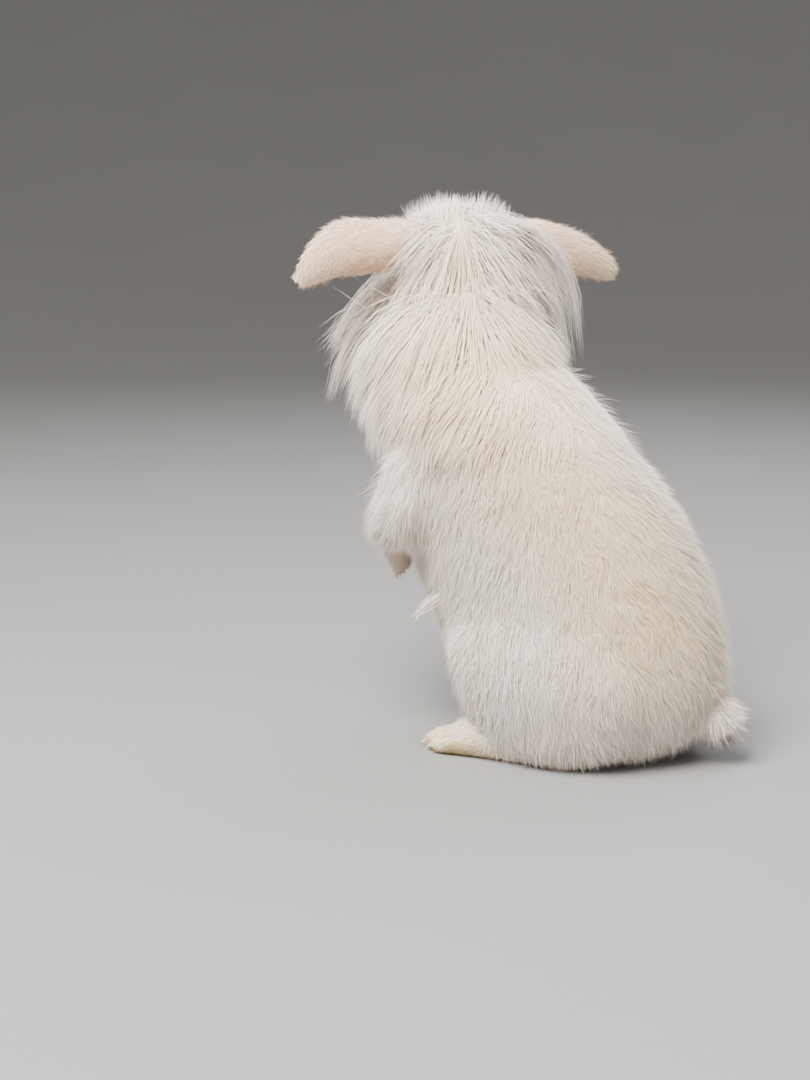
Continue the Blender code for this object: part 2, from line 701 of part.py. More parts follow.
def on_loft(rings, level, angle):
    """A place on the side of a loft, and there: straight out of it, along it, and around it."""
    i = min(int(level), len(rings) - 2)
    sides = len(rings[0])
    turned = (angle % 360) / 360 * sides
    j, share = int(turned) % sides, turned - int(turned)
    low = rings[i][j].lerp(rings[i][(j + 1) % sides], share)
    high = rings[i + 1][j].lerp(rings[i + 1][(j + 1) % sides], share)
    around = (rings[i][(j + 1) % sides] - rings[i][j]).normalized()
    along = (high - low).normalized()
    away = around.cross(along).normalized()
    if away.dot(low - sum(rings[i], Vector()) / sides) < 0:
        away = -away
    return low.lerp(high, level - i), away, along, around


def kept_off(point, room, solids):
    """The point, moved until it is at least that far outside each of the solids."""
    for solid in solids:
        near, normal, _, distance = solid.find_nearest(point)
        if distance > LOCK_DEEPEST * MM:
            continue
        aside = point - near
        if aside.dot(normal) < -0.5 * distance:
            point = near + normal * room
        elif distance < room:
            point = near + (aside.normalized() if distance > 0.01 * MM else normal) * room
    return point


def lock_rings(root, away, heading, lie, row, length, room, guide, others):
    """The rings of one lock. heading is how it starts, and lie is where it bends to."""
    taper = LOCK_TAPER if row.length > SHORT_LOCK else SHORT_TAPER
    steps = len(taper) - 1
    room = (row.thick / 2 + LOCK_CLEAR + room) * MM
    over = row.thick * LOCK_REST * MM
    points = [root - (away * LOCK_SUNK + heading * 1.5) * MM, root - away * row.thick * 0.2 * MM]
    point = points[1]
    for _ in range(steps - 1):
        point = point + heading * (length / steps) * MM
        point = kept_off(point, over, [guide])
        point = kept_off(point, room, others)
        points.append(point)
        heading = heading.lerp(lie, row.fall).normalized()
    points[-1].z = max(points[-1].z, 2 * MM)
    outs = [away, away]
    for point in points[2:]:
        _, normal, _, distance = guide.find_nearest(point)
        outs.append(normal.lerp(away, min(max(distance / MM - 5, 0) / 10, 0.8)))
    return flat_rings(points, outs, taper, row.wide, row.thick)


def flat_rings(points, outs, taper, wide, thick):
    """The rings of a flat tapered lock along the points. outs is the way its flat side faces at each."""
    rings = []
    for k, (wide_share, thick_share) in enumerate(taper):
        before, after = (1, 2) if k < 2 else (k - 1, min(k + 1, len(points) - 1))
        along = (points[after] - points[before]).normalized()
        turned = along.cross(outs[k]).normalized()
        left = -turned if k and turned.dot(left) < 0 else turned
        half_left = left * wide * wide_share / 2 * MM
        half_front = left.cross(along).normalized() * thick * thick_share / 2 * MM
        middle = points[k]
        rings.append([middle + half_left, middle + half_front, middle - half_left, middle - half_front])
    return rings


def build_long_locks(walls):
    """The free locks behind the ears, each left out if it would come through one of the walls."""
    turn = math.radians(BEHIND)
    across = Vector((math.cos(turn), math.sin(turn), 0))
    towards = Vector((math.sin(turn), -math.cos(turn), 0))
    middle = in_head(0, 25, 0)
    locks = []
    for lock in LONG_LOCKS:
        points = [(across * a + towards * b + Vector((0, 0, c))) * MM for a, b, c in lock.points]
        outs = [(point - middle).normalized() for point in points]
        thing = node("lock", loft(flat_rings(points, outs, LOCK_TAPER, lock.wide, lock.thick)), None)
        if any(touches(thing, wall) for wall in walls):
            bpy.data.objects.remove(thing)
        else:
            locks.append(thing)
    return locks


def tree(thing):
    return BVHTree.FromObject(thing, bpy.context.evaluated_depsgraph_get())


def build_locks(rows, rings, near, walls, chance, lie_of):
    """Locks in rows around a loft, bent round what is near. Any that still meets a wall is left out."""
    form = node("guide", loft(rings), None)
    guide = tree(form)
    bpy.data.objects.remove(form)
    locks = []
    for row in rows:
        for k in range(row.count):
            step = (row.last - row.first) / max(row.count - 1, 1)
            angle = row.first + step * k + chance.uniform(-0.25, 0.25) * step
            level = row.level + chance.uniform(-0.25, 0.25)
            root, away, along, around = on_loft(rings, level, angle)
            heading, lie = lie_of(row, angle, away, along, around, chance)
            length = row.length * chance.uniform(0.8, 1.15)
            for room, share in LOCK_TRIES:
                shape = lock_rings(root, away, heading, lie, row, length * share, room, guide, near)
                lock = node("lock", loft(shape), None)
                if not any(touches(lock, wall) for wall in walls):
                    locks.append(lock)
                    break
                bpy.data.objects.remove(lock)
    return locks


def touches(lock, wall):
    """Whether the lock, or the lock with a gap around it, comes through the wall."""
    wider = grown(lock)
    meets = bool(tree(wider).overlap(wall) or tree(lock).overlap(wall))
    bpy.data.objects.remove(wider)
    return meets


def mane_lie(row, angle, away, along, around, chance):
    """Down the body, and away from the parting at the nape to either side."""
    from_parting = (angle - 180 + 180) % 360 - 180
    side = 1 if from_parting > 0 else -1
    flow = around * side * row.part * max(math.cos(math.radians(from_parting)) + 0.25, 0)
    down = (Vector((0, 0, -1)) - along * 0.4).normalized()
    start = (down * 0.6 + flow + away * (row.lift + chance.uniform(-0.15, 0.15))).normalized()
    return start, (down + flow * 0.5 + around * chance.uniform(-0.2, 0.2)).normalized()


def head_lie(row, angle, away, along, around, chance):
    """Back over the head and down, away from the middle to either side."""
    turned = head_place().to_3x3()
    back = turned @ Vector((0, 1, 0))
    flow = turned @ Vector((math.sin(math.radians(angle)) * row.part, 0, 0))
    start = back * 0.5 + flow + away * (row.lift + chance.uniform(-0.1, 0.2))
    start += around * chance.uniform(-0.25, 0.25)
    lie = back * 0.35 + Vector((0, 0, -1)) + flow * 0.6 + around * chance.uniform(-0.2, 0.2)
    return start.normalized(), lie.normalized()


def forelock_lie(row, angle, away, along, around, chance):
    """Forward over the forehead."""
    start = along * 0.8 + away * row.lift + around * chance.uniform(-0.2, 0.2)
    lie = along + Vector((0, 0, -0.4)) + around * chance.uniform(-0.2, 0.2)
    return start.normalized(), lie.normalized()


def tail_lie(row, angle, away, along, around, chance):
    """Along the tail to its tip."""
    start = (along + away * row.lift + around * chance.uniform(-0.15, 0.15)).normalized()
    return start, (along + Vector((0, 0, 0.1))).normalized()


def stand_on_origin(things):
    """Moves everything so that the middle of its box is over the origin, on the floor."""
    corners = [thing.matrix_world @ vert.co for thing in things for vert in thing.data.vertices]
    low = [min(c[i] for c in corners) for i in range(3)]
    high = [max(c[i] for c in corners) for i in range(3)]
    shift = Vector((-(low[0] + high[0]) / 2, -(low[1] + high[1]) / 2, -low[2]))
    for thing in things:
        thing.data.transform(Matrix.Translation(shift))
    return shift


def main():
    clear_scene()
    coat = material("white_coat", WHITE_COAT, 0.9)
    foot_coat = material("foot_coat", FOOT_COAT, 0.85)
    ear_coat = material("ear_coat", EAR_COAT, 0.8)
    eye_finish = material("eye", EYE_BLUE, 0.08)
    chance = random.Random(SEED)

    torso, neck, body = build_torso_and_neck(coat)
    head, skull = build_head(coat)
    tail, tail_rings = build_tail(coat)
    forms = [ellipsoid(form, side) for form in (CHEEK, WHISKER_PAD) for side in (LEFT, RIGHT)]
    forms += [ellipsoid(NOSE), ellipsoid(CHIN)]
    boolean(head, forms, "UNION")
    boolean(neck, [grown(head)], "DIFFERENCE")
    boolean(tail, [grown(torso)], "DIFFERENCE")

    eyes, ears, limbs = [], [], []
    for side in (LEFT, RIGHT):
        eyes.append(build_eye(side, eye_finish))
        ear = build_ear(side, ear_coat)
        boolean(ear, [grown(head), grown(neck)], "DIFFERENCE")
        ears.append(ear)
        foot = build_hind_foot(side, foot_coat)
        boolean(foot, [grown(torso)], "DIFFERENCE")
        thigh = build_thigh(side, coat)
        boolean(thigh, [grown(torso), grown(foot), grown(tail)], "DIFFERENCE")
        foreleg = build_foreleg(side, coat)
        boolean(foreleg, [grown(torso)], "DIFFERENCE")
        paw = build_forepaw(side, foot_coat)
        boolean(paw, [grown(torso)], "DIFFERENCE")
        limbs += [foot, thigh, foreleg, paw]

    body_tree, skull_tree = tree(torso), tree(head)
    ear_trees = [tree(ear) for ear in ears]
    limb_trees = [tree(limb) for limb in limbs]
    about_head = ear_trees + [tree(eye) for eye in eyes]
    over_neck = about_head + [tree(neck)]
    head_locks = build_locks(HEAD_LOCKS, skull, over_neck, over_neck, chance, head_lie)
    head_locks += build_locks(FORELOCK, skull, about_head, about_head, chance, forelock_lie)
    head_locks += build_long_locks(ear_trees + limb_trees + [body_tree, tree(neck)])
    cutters = build_mouth(head) + [grown(eye) for eye in eyes]
    cutters += [ellipsoid(NOSTRIL, side, NOSTRIL_LEAN, 8, 5) for side in (LEFT, RIGHT)]
    boolean(head, build_lids(LEFT) + build_lids(RIGHT) + head_locks, "UNION", "MANIFOLD")
    boolean(head, cutters, "DIFFERENCE", "MANIFOLD")

    about_tail = [body_tree] + limb_trees
    tail_locks = build_locks(TAIL_LOCKS, tail_rings, about_tail, about_tail, chance, tail_lie)
    boolean(tail, tail_locks, "UNION", "MANIFOLD")
    about_neck = ear_trees + limb_trees + [body_tree]
    near = about_neck + [skull_tree]
    mane_locks = build_locks(MANE, body, near, about_neck + [tree(head)], chance, mane_lie)
    boolean(neck, mane_locks, "UNION", "MANIFOLD")
    chest_locks = build_locks(CHEST_LOCKS, body, limb_trees, limb_trees + [tree(neck)], chance, mane_lie)
    boolean(torso, chest_locks, "UNION")
    stand_on_origin([torso, neck, head, tail] + eyes + ears + limbs)


if __name__ == "__main__":
    main()
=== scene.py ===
"""The looks of the lionhead rabbit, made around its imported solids.

One skin stands for all the flesh. Over it lies the coat, in thin closed tufts that follow its flow: short on
the face, ears and feet, plush on the body, and long and silky in the mane. The eyes and claws are pieces of
their own. Tables are in millimetres, and mm() makes metres of them.
"""

import math
from collections import namedtuple

import bmesh
import bpy
import numpy as np
from mathutils import Matrix, Vector, noise
from mathutils.bvhtree import BVHTree
from mathutils.kdtree import KDTree


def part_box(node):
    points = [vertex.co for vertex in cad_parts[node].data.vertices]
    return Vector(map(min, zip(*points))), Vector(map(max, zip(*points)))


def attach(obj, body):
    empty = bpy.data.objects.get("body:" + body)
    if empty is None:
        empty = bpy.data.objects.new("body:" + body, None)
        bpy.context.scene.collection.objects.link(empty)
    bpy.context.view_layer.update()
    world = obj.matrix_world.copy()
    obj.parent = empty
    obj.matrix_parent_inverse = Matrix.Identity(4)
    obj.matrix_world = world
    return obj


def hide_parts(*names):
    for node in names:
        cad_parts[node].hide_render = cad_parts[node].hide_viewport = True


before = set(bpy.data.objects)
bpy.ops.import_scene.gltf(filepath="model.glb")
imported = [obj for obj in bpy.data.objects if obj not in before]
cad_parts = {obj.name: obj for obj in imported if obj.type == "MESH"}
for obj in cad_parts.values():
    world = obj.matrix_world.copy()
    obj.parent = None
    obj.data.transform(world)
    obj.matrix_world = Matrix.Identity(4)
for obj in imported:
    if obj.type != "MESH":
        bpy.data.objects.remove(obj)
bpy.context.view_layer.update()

MM = 0.001
LEFT, RIGHT = 1, -1
SIDES = {LEFT: "left", RIGHT: "right"}
OUT, FRONT, UP = Vector((1, 0, 0)), Vector((0, -1, 0)), Vector((0, 0, 1))
DOWN = np.array((0.0, 0.0, -1.0))

# The view of the photograph. Azimuth and elevation are in degrees, the distance and the aim in metres.
CAMERA_AZIMUTH, CAMERA_ELEVATION, CAMERA_DISTANCE = 118, 11, 0.80
CAMERA_LENS = 52
CAMERA_AIM_ACROSS, CAMERA_AIM_HEIGHT = -0.0969, 0.1088
LIGHT_AIM = Vector((0, -0.01, 0.15))
FLOOR_REACH, FLOOR_BEND, FLOOR_WALL = 2.2, 2.5, 3.0
# The lamps: how far round from the camera and how high they stand in degrees, how far off and how large they
# are in metres, their power in watts and their colour.
LIGHTS = (
    ("key", -34, 54, 1.4, 0.8, 84, (1.0, 0.97, 0.93)),
    ("fill", 60, 25, 1.7, 1.2, 10, (0.98, 0.985, 1.0)),
    ("rim", 150, 50, 1.5, 0.8, 14, (0.97, 0.98, 1.0)),
)
ROOM_COLOUR, ROOM_STRENGTH = (0.87, 0.86, 0.84, 1.0), 0.98

# The body from the seat to the nape: a ring's middle, how far its surface stands from it to the sides, to
# the front and to the back, and how far the body faces to its own right there, in degrees.
BodyRing = namedtuple("BodyRing", "x y z wide front back turn")
BODY = [BodyRing(*row) for row in (
    (0, 4, 0, 30, 34, 36, 0),
    (0, 3, 9, 46, 52, 54, 0),
    (0, 1, 27, 55, 61, 68, 0),
    (0, -2, 48, 58, 69, 73, 2),
    (0, -8, 70, 59, 75, 73, 5),
    (0, -18, 92, 58, 77, 72, 9),
    (-1, -32, 114, 57, 77, 69, 14),
    (-2, -47, 136, 56, 77, 65, 20),
    (-3, -60, 156, 54, 74, 59, 26),
    (-4, -70, 174, 50, 68, 52, 31),
    (-6, -76, 192, 46, 60, 45, 36),
    (-8, -81, 210, 42, 50, 39, 40),
    (-11, -85, 228, 35, 39, 32, 42),
)]
NECK_FROM_Z = 160
SHOULDER_FROM_Z = 143

# The head, from the back of the skull (0) to the nose. ahead is the distance along it, lift is how far the
# ring's middle stands above the line of the head.
HeadRing = namedtuple("HeadRing", "ahead lift wide top bottom")
HEAD = [HeadRing(*row) for row in (
    (0.0, 2, 5, 5, 5),
    (2.5, 2, 14.5, 14.5, 13.5),
    (9, 2, 23, 22, 22),
    (18, 1.5, 27.5, 26, 27),
    (29, 0, 29.5, 27.5, 29),
    (40, -2, 28.5, 26.5, 28),
    (50, -4.5, 24.5, 24, 26),
    (58, -7.5, 20, 21, 22.5),
    (65, -10, 16.5, 17.5, 18),
    (71, -11.5, 13.5, 13.5, 14),
    (75.5, -12, 9.5, 9, 9.5),
    (77.5, -12, 4, 4, 4),
)]
HEAD_AT, HEAD_TURN, HEAD_NOD = (2, -66, 252), 42, 12

# Rounded forms of the face: out, ahead and up of the middle, then the half sizes the same way.
Form = namedtuple("Form", "out ahead up half_out half_ahead half_up")
CHEEK, WHISKER_PAD = Form(15, 42, -13, 14, 17, 14), Form(6.2, 70.5, -13.5, 7.6, 9.5, 7.2)
NOSE, CHIN = Form(0, 76.5, -6.5, 5.0, 4.2, 4.2), Form(0, 66, -24, 8.2, 9.5, 6.2)
MUZZLE = Form(0, 69.3, -9.8, 10.4, 11, 9.6)

EYE_RADIUS = 8.2
EYE_AT, EYE_LOOK = (20.5, 43.0, 3.0), (0.94, 0.28, 0.16)
# The eyeball is fuller where the cosine of the angle to its look is above this, by this share at most.
CORNEA_FROM, CORNEA_RISE = 0.72, 0.045

# An ear from its root to its tip. curl is how far round the blade bends, and lean turns its back up or down.
EarRing = namedtuple("EarRing", "out ahead up wide curl thick lean")
EAR_ROOT = ((13, 16, 11, 25, 290, 3.4, 10), (25, 15, 10.5, 28, 230, 3.4, 6))
EARS = {
    LEFT: [EarRing(*row) for row in (
        *EAR_ROOT,
        (38, 14, 9.5, 32, 150, 3.2, 4),
        (52, 14, 7.6, 32.5, 105, 3.0, 2),
        (66, 14, 6.8, 33.5, 86, 2.8, -1),
        (78, 14.5, 1.8, 26, 75, 2.5, -5),
        (87, 15.5, -5.4, 17.5, 65, 2.2, -9),
        (93.5, 17, -11.5, 8, 58, 1.8, -12),
    )],
    RIGHT: [EarRing(*row) for row in (
        *EAR_ROOT,
        (38, 14, 10.5, 31, 150, 3.2, 4),
        (52, 14, 8.3, 28.5, 105, 3.0, 2),
        (66, 14, 5.0, 27, 86, 2.8, -1),
        (78, 14.5, 1.5, 21, 75, 2.5, -5),
        (88, 15.5, -2.3, 15.5, 65, 2.2, -9),
        (94, 17, -6, 9, 58, 1.8, -12),
    )],
}
EAR_ACROSS, EAR_THINNING = 13, 0.45
EAR_SWEEP = {LEFT: 0, RIGHT: -9}

THIGH_AT, THIGH_HALF, THIGH_LEAN = (37, -8, 48), (29, 56, 47), 10

FootRing = namedtuple("FootRing", "ahead wide high")
HIND_FOOT = [FootRing(*row) for row in (
    (0, 5, 10),
    (4, 9, 15),
    (14, 11, 18),
    (30, 11.5, 20),
    (46, 12.5, 20),
    (60, 13.5, 18),
    (70, 12.5, 14),
    (77, 9, 9),
)]
HIND_HEEL, HIND_SPLAY = (36, 13), 4
HIND_TOES, HIND_TOE_REACH, HIND_TOE_RADIUS = (-9.6, -3.4, 3.4, 9.6), (80, 86, 86.5, 81), 4.6
HIND_TOE_FROM, HIND_TOE_FROM_HIGH = 58, 8
# The claws: how long each is and its radius at the root, how far it drops and bends, and how it thins.
HIND_CLAW, FORE_CLAW = (6.5, 1.2), (4.5, 0.8)
CLAW_DROP, CLAW_BEND, CLAW_THINNING, CLAW_BLUNTNESS = 0.35, 0.7, 0.9, 1.4

ForelegRing = namedtuple("ForelegRing", "out ahead high radius")
FORELEG = [ForelegRing(*row) for row in (
    (45, 26, 155, 15.5),
    (50, 30, 139, 18),
    (52, 34, 122, 17),
    (46, 47, 113, 13.5),
    (36, 58, 110, 10.5),
    (29, 64, 106, 9.5),
    (26.5, 65.5, 100, 9),
)]
FORELEG_TURN, CHEST_AT = 17, (-2, -42)
# The hanging paw: how wide it is at shares of its length, and its toes from side to side.
FOREPAW = ((0, 1.0), (0.25, 0.86), (0.5, 0.86), (0.72, 0.8), (0.86, 0.55), (0.93, 0.2))
FOREPAW_LENGTH, FOREPAW_TOES = 23.0, (-5.4, -1.8, 1.8, 5.4)
FOREPAW_TOE_FROM, FOREPAW_TOE_TO, FOREPAW_TOE_RADII = 0.55, 0.86, (3.3, 2.9)
CAP_SHARES = (0.2, 0.55, 0.85)

TailRing = namedtuple("TailRing", "y z radius")
TAIL = [TailRing(*row) for row in (
    (50, 32, 13),
    (61, 29, 13.5),
    (69, 25, 11.5),
    (74.5, 21, 8),
    (77, 18, 4),
)]
# Where the plush of the rump grows long and falls over the root of the tail.
OVER_TAIL, OVER_TAIL_REACH = (0, 53, 46), 20

# How the skin lies and what grows on it. depth is how far it lies inside the solids, length and wide are the
# tufts' own, tall is how far their tips stand over the skin, pull is how strongly they gather into tips, and
# many is how many grow on a square millimetre.
Coat = namedtuple("Coat", "depth length wide tall pull many")
COATS = {
    "body": Coat(4.2, 12.5, 0.51, 4.6, 0.22, 1.85),
    "neck": Coat(2.4, 15.0, 0.54, 2.8, 0.25, 2.0),
    "head": Coat(2.0, 8.0, 0.38, 2.0, 0.20, 3.2),
    "ear": Coat(0.4, 5.5, 0.34, 1.7, 0.20, 2.6),
    "thigh": Coat(4.2, 12.5, 0.51, 4.6, 0.22, 1.85),
    "foot": Coat(1.1, 6.5, 0.42, 1.3, 0.15, 2.2),
    "foreleg": Coat(2.5, 15.0, 0.50, 5.0, 0.35, 2.2),
    "paw": Coat(0.7, 5.5, 0.36, 1.4, 0.15, 3.4),
    "tail": Coat(3.8, 11.0, 0.46, 6.5, 0.30, 5.0),
}
REGIONS = tuple(COATS)
DEPTH, LENGTH, WIDE, TALL, PULL, MANY = range(len(Coat._fields))
FIXED_FLOWS = {"thigh": (0.0, 0.28, -1.0), "foot": (0.0, -1.0, -0.12)}
# How far the coat runs away from the spine, for each height.
SWEEP_HEIGHTS, SWEEPS = (20, 70, 120, 190), (-0.25, 0.05, 0.55, 0.8)
# How many times over things are evened out over the skin: how far in it lies, its regions, the turn of its
# rims, where a shoulder is, the shoulder itself, and the flow.
DEPTH_ROUNDS, REGION_ROUNDS, RIM_ROUNDS = 6, 14, 4
SHOULDER_ROUNDS, SHOULDER_FLAT_ROUNDS, FLOW_ROUNDS = 30, 90, 8
SKIN_VOXEL = 1.55
# The part of the map that a tuft takes, from its root on.
TUFT_PATCH = 0.003
MARKS = ("cream_and_shade", "peach", "pink")
BARE = MARKS.index("pink")
RUFFLES, MANE_WAVES = 70.0, 45.0
MOST_TRIANGLES = 190_000
# How high over the floor the paths of hair stay, and how high any of its points.
FLOOR_ROOM, FLOOR_LEAST = 0.4, 0.1

# How wide a tuft is at each ring from its root on. It ends in a point.
SHORT_TAPER = (1.0,)
GUARD_TAPER = (0.9, 0.8)
MANE_TAPER = (0.8, 1.0, 0.75)
CROWN_TAPER = (0.8, 1.0, 0.7)
LONG_TAPER = (0.6, 0.9, 1.0, 0.9, 0.6)
WHISKER_TAPER = (1.0, 0.9, 0.75, 0.6, 0.4)

# Where the mane parts, as an azimuth for each height, and its length for each height: longer all round than
# on the right, where it lies close.
PARTING_HEIGHTS, PARTING_AZIMUTHS = (150, 182, 203, 218, 240), (160, 162, 150, 128, 124)
MANE_HEIGHTS, MANE_LENGTHS = (148, 165, 185, 205, 235, 262), (17, 24, 34, 44, 50, 50)
CLOSE_AZIMUTH, CLOSE_REACH, CLOSE_LENGTH = 205, 62, 0.62
# How far the hair runs away from the parting, and how loose it stands, for each height.
SIDEWAYS_HEIGHTS, SIDEWAYS = (150, 170, 190, 215, 235), (0.2, 0.6, 1.0, 1.2, 0.8)
LOOSE_HEIGHTS, LOOSENESS = (150, 185, 225), (0.15, 0.55, 1.0)
MANE_MANY, MANE_WIDE = 0.92, 0.36
GUARD_MANY, GUARD_WIDE, GUARD_FROM_LENGTH = 0.085, 0.20, 12
CROWN_MANY, CROWN_WIDE, CROWN_LENGTHS = 2.0, 0.28, (4, 13)
WHISKERS, WHISKERS_IN_ROW = ((8.5, 72, -10.5), (9.5, 69.5, -13), (10, 67, -15.5)), 5
WHISKER_WIDE, WHISKER_LENGTHS, WHISKER_APART = 0.32, (19, 28), 2.2

# The face's own detail. The lids open inside these angles from the way the eye looks.
FINE_ABOUT_EYE, FINE_ABOUT_NOSE = 15, 21
LID_HALF_LONG, LID_HALF_TALL = 52, 37
LID_RIM, LID_SUNK, BALL_ROOM = 0.65, 2.5, 0.5
# Where the lids' edge and rim lie, next to the opening's own size, and how far out the skin is laid round
# the eye.
LID_EDGE, LID_RIM_AT, LID_RIM_WIDE = 1.06, 1.12, 0.18
LIDS_TO, SOCKET_TO, SOCKET_FADE, SOCKET_END = 1.2, 2.1, 0.75, 2.2
# Lines of the nose and the mouth as seen from the front, out and up, and how deep and wide each is.
NOSTRIL, NOSTRIL_DEEP, NOSTRIL_WIDE = ((1.0, -10.4), (2.4, -8.6), (3.6, -7.4), (5.0, -6.9)), 1.7, 0.85
MOUTH, MOUTH_DEEP, MOUTH_WIDE = ((0, -10.8), (0, -17.6), (3.6, -20.2), (8.2, -21.2), (12, -19.5)), 1.5, 0.75
NOSE_LEATHER, NOSE_LEATHER_WIDE = ((0, -6.5), (0, -10)), 4.2
# How far ahead the lines of the face begin, and how long the coat is along the face, next to its own length.
LINES_FROM, FACE_AHEAD, FACE_SHARES = 62, (30, 55, 70, 80), (1.0, 0.75, 0.5, 0.3)

# The creamy band down the flank: its azimuth for each height, how wide it is in degrees, and how strong.
BAND_HEIGHTS, BAND_AZIMUTHS, BAND_WIDE = (60, 110, 160, 230), (146, 142, 132, 120), 36
CREAM_HEIGHTS, CREAM_SHARES = (30, 75, 215, 250), (0.1, 1, 1, 0.25)
# Painted shade in the crease under the nape and the parting over it, as azimuths and heights with how wide
# they are.
CREASE_SHADE_AZIMUTH, CREASE_SHADE_WIDE, CREASE_SHADE_HEIGHT, CREASE_SHADE_TALL = 132, 26, 219, 6
PARTING_SHADE_AZIMUTH, PARTING_SHADE_WIDE, PARTING_SHADE_FROM = 124, 7, 226
# The blush on the ears, out from the middle of the head, and the way that their inner faces look.
BLUSH_OUT, BLUSH_WIDE, INNER_LOOK = 56, 20, Vector((0, -1, -0.25))

# Free locks that fall behind the ears: points across the view from behind, towards it, and up.
LONG_LOCKS = (
    ((-46, -50, 256), (-37, -36, 264), (-26, -33, 260), (-15, -36, 247), (-8, -40, 227), (-5, -43, 204)),
    ((-48, -48, 252), (-40, -34, 254), (-30, -32, 247), (-21, -35, 232), (-15, -38, 214), (-12, -41, 196)),
    ((-54, -44, 246), (-45, -30, 244), (-37, -28, 234), (-31, -31, 218), (-27, -35, 200), (-25, -39, 184)),
    ((-88, -56, 243), (-99, -47, 242), (-110, -45, 236),
     (-120, -46, 227), (-129, -48, 216), (-136, -51, 203)),
    ((-86, -52, 239), (-97, -41, 238), (-110, -38, 229),
     (-121, -41, 215), (-130, -45, 198), (-136, -49, 180)),
)
# Locks that hang from under each ear over the hollow behind the cheek, in the head's own frame.
CHEEK_LOCKS = (
    ((20, 33, 6), (26, 31, -4), (29, 28, -15), (30, 25, -27), (30, 22, -38), (29, 19, -49)),
    ((20, 26, 8), (27, 23, -3), (31, 19, -15), (32, 15, -28), (32, 11, -40), (31, 8, -51)),
    ((19, 19, 8), (27, 14, -4), (31, 10, -17), (33, 6, -30), (33, 2, -42), (32, -2, -54)),
)
BELLY_WISP = ((-66, -4, 84), (-72, -4, 82), (-78, -4, 79), (-84, -4, 75), (-89, -4, 71), (-93, -4, 66))


def mm(x, y, z):
    """A point or a direction in metres."""
    return Vector((x, y, z)) * MM


def curve_between(p, a, b, n, t):
    """A Catmull-Rom curve from a (t = 0) to b (t = 1), where p comes before and n after."""
    return 0.5 * (2 * a + (b - p) * t + (2 * p - 5 * a + 4 * b - n) * t**2 + (3 * a - p - 3 * b + n) * t**3)


def eased(rows, steps):
    """The rows of a table with more between them, on a smooth curve through each column."""
    out = []
    padded = [rows[0], *rows, rows[-1]]
    for before, here, there, after in zip(padded, padded[1:], padded[2:], padded[3:]):
        for k in range(steps):
            columns = zip(before, here, there, after)
            out.append(type(here)(*(curve_between(*column, k / steps) for column in columns)))
    return [*out, rows[-1]]


def ways(line):
    """The way that a line runs at each of its points."""
    return [(after - before).normalized() for before, after in zip([line[0], *line], [*line[1:], line[-1]])]


def directions(line, ahead):
    """For each point of a line: along it, to its left, its front, where ahead says where the front faces."""
    frames = []
    for along, front in zip(ways(line), ahead):
        left = along.cross(front).normalized()
        frames.append((along, left, left.cross(along)))
    return frames


def oval(centre, left, front, wide, fore=None, aft=None, sides=32):
    """A ring that reaches wide to each side, fore to the front and aft to the back, if they differ."""
    fore = wide if fore is None else fore
    aft = fore if aft is None else aft
    ring = []
    for k in range(sides):
        angle = 2 * math.pi * k / sides
        reach = fore if math.cos(angle) > 0 else aft
        ring.append(centre + left * (wide * math.sin(angle)) + front * (reach * math.cos(angle)))
    return ring


def loft(rings):
    """A closed bmesh through rings of equal length: the first ring's edges are extruded to the others."""
    made = bmesh.new()
    row = bmesh.ops.create_circle(made, segments=len(rings[0]), radius=1.0)["verts"]
    for vert, place in zip(row, rings[0]):
        vert.co = place
    edges = list(made.edges)
    bmesh.ops.contextual_create(made, geom=edges)
    for ring in rings[1:]:
        grown = bmesh.ops.extrude_edge_only(made, edges=edges)["geom"]
        edges = [item for item in grown if isinstance(item, bmesh.types.BMEdge)]
        raised = {}
        for vert in (item for item in grown if isinstance(item, bmesh.types.BMVert)):
            below = next(e.other_vert(vert) for e in vert.link_edges if e.other_vert(vert) in row)
            raised[below] = vert
        row = [raised[below] for below in row]
        for vert, place in zip(row, ring):
            vert.co = place
    bmesh.ops.contextual_create(made, geom=edges)
    bmesh.ops.recalc_face_normals(made, faces=made.faces)
    return made


def swept(line, frames, sizes, sides=32):
    """A form through ovals along a line, none of it below the floor. sizes has the reaches of each."""
    rings = []
    for middle, (_, left, front), size in zip(line, frames, sizes):
        ring = oval(middle, left, front, *(reach * MM for reach in size), sides=sides)
        rings.append([Vector((p.x, p.y, max(p.z, 0.0))) for p in ring])
    return loft(rings)


def round_form(rows, line, frames):
    """A round form along a line, with the radius of each row."""
    return swept(line, frames, [(row.radius,) for row in rows])


HEAD_PLACE = (
    Matrix.Translation(mm(*HEAD_AT))
    @ Matrix.Rotation(math.radians(-HEAD_TURN), 4, "Z")
    @ Matrix.Rotation(math.radians(HEAD_NOD), 4, "X")
)
HEAD_TURNED = HEAD_PLACE.to_3x3()


def in_head(out, ahead, up):
    """A place in the head's own frame, given from the back of the skull."""
    return HEAD_PLACE @ mm(out, -ahead, up)


def stand_shift():
    """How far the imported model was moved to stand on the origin, read from its left eye."""
    low, high = (Vector(corner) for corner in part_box("eye_left"))
    return (low + high) / 2 - in_head(*EYE_AT)


SHIFT = stand_shift()


def stood(line):
    """A line as rows of numbers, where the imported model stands."""
    return np.array([tuple(point + SHIFT) for point in line])


def eye_middle(side):
    return in_head(side * EYE_AT[0], *EYE_AT[1:]) + SHIFT


def eye_look(side):
    return (HEAD_TURNED @ Vector((side * EYE_LOOK[0], -EYE_LOOK[1], EYE_LOOK[2]))).normalized()


def body_line():
    """The rows of the body with more between them, their middles, and the way each faces."""
    rows = eased(BODY, 4)
    middles = [mm(row.x, row.y, row.z) for row in rows]
    ahead = [Matrix.Rotation(math.radians(-row.turn), 3, "Z") @ FRONT for row in rows]
    return rows, middles, ahead


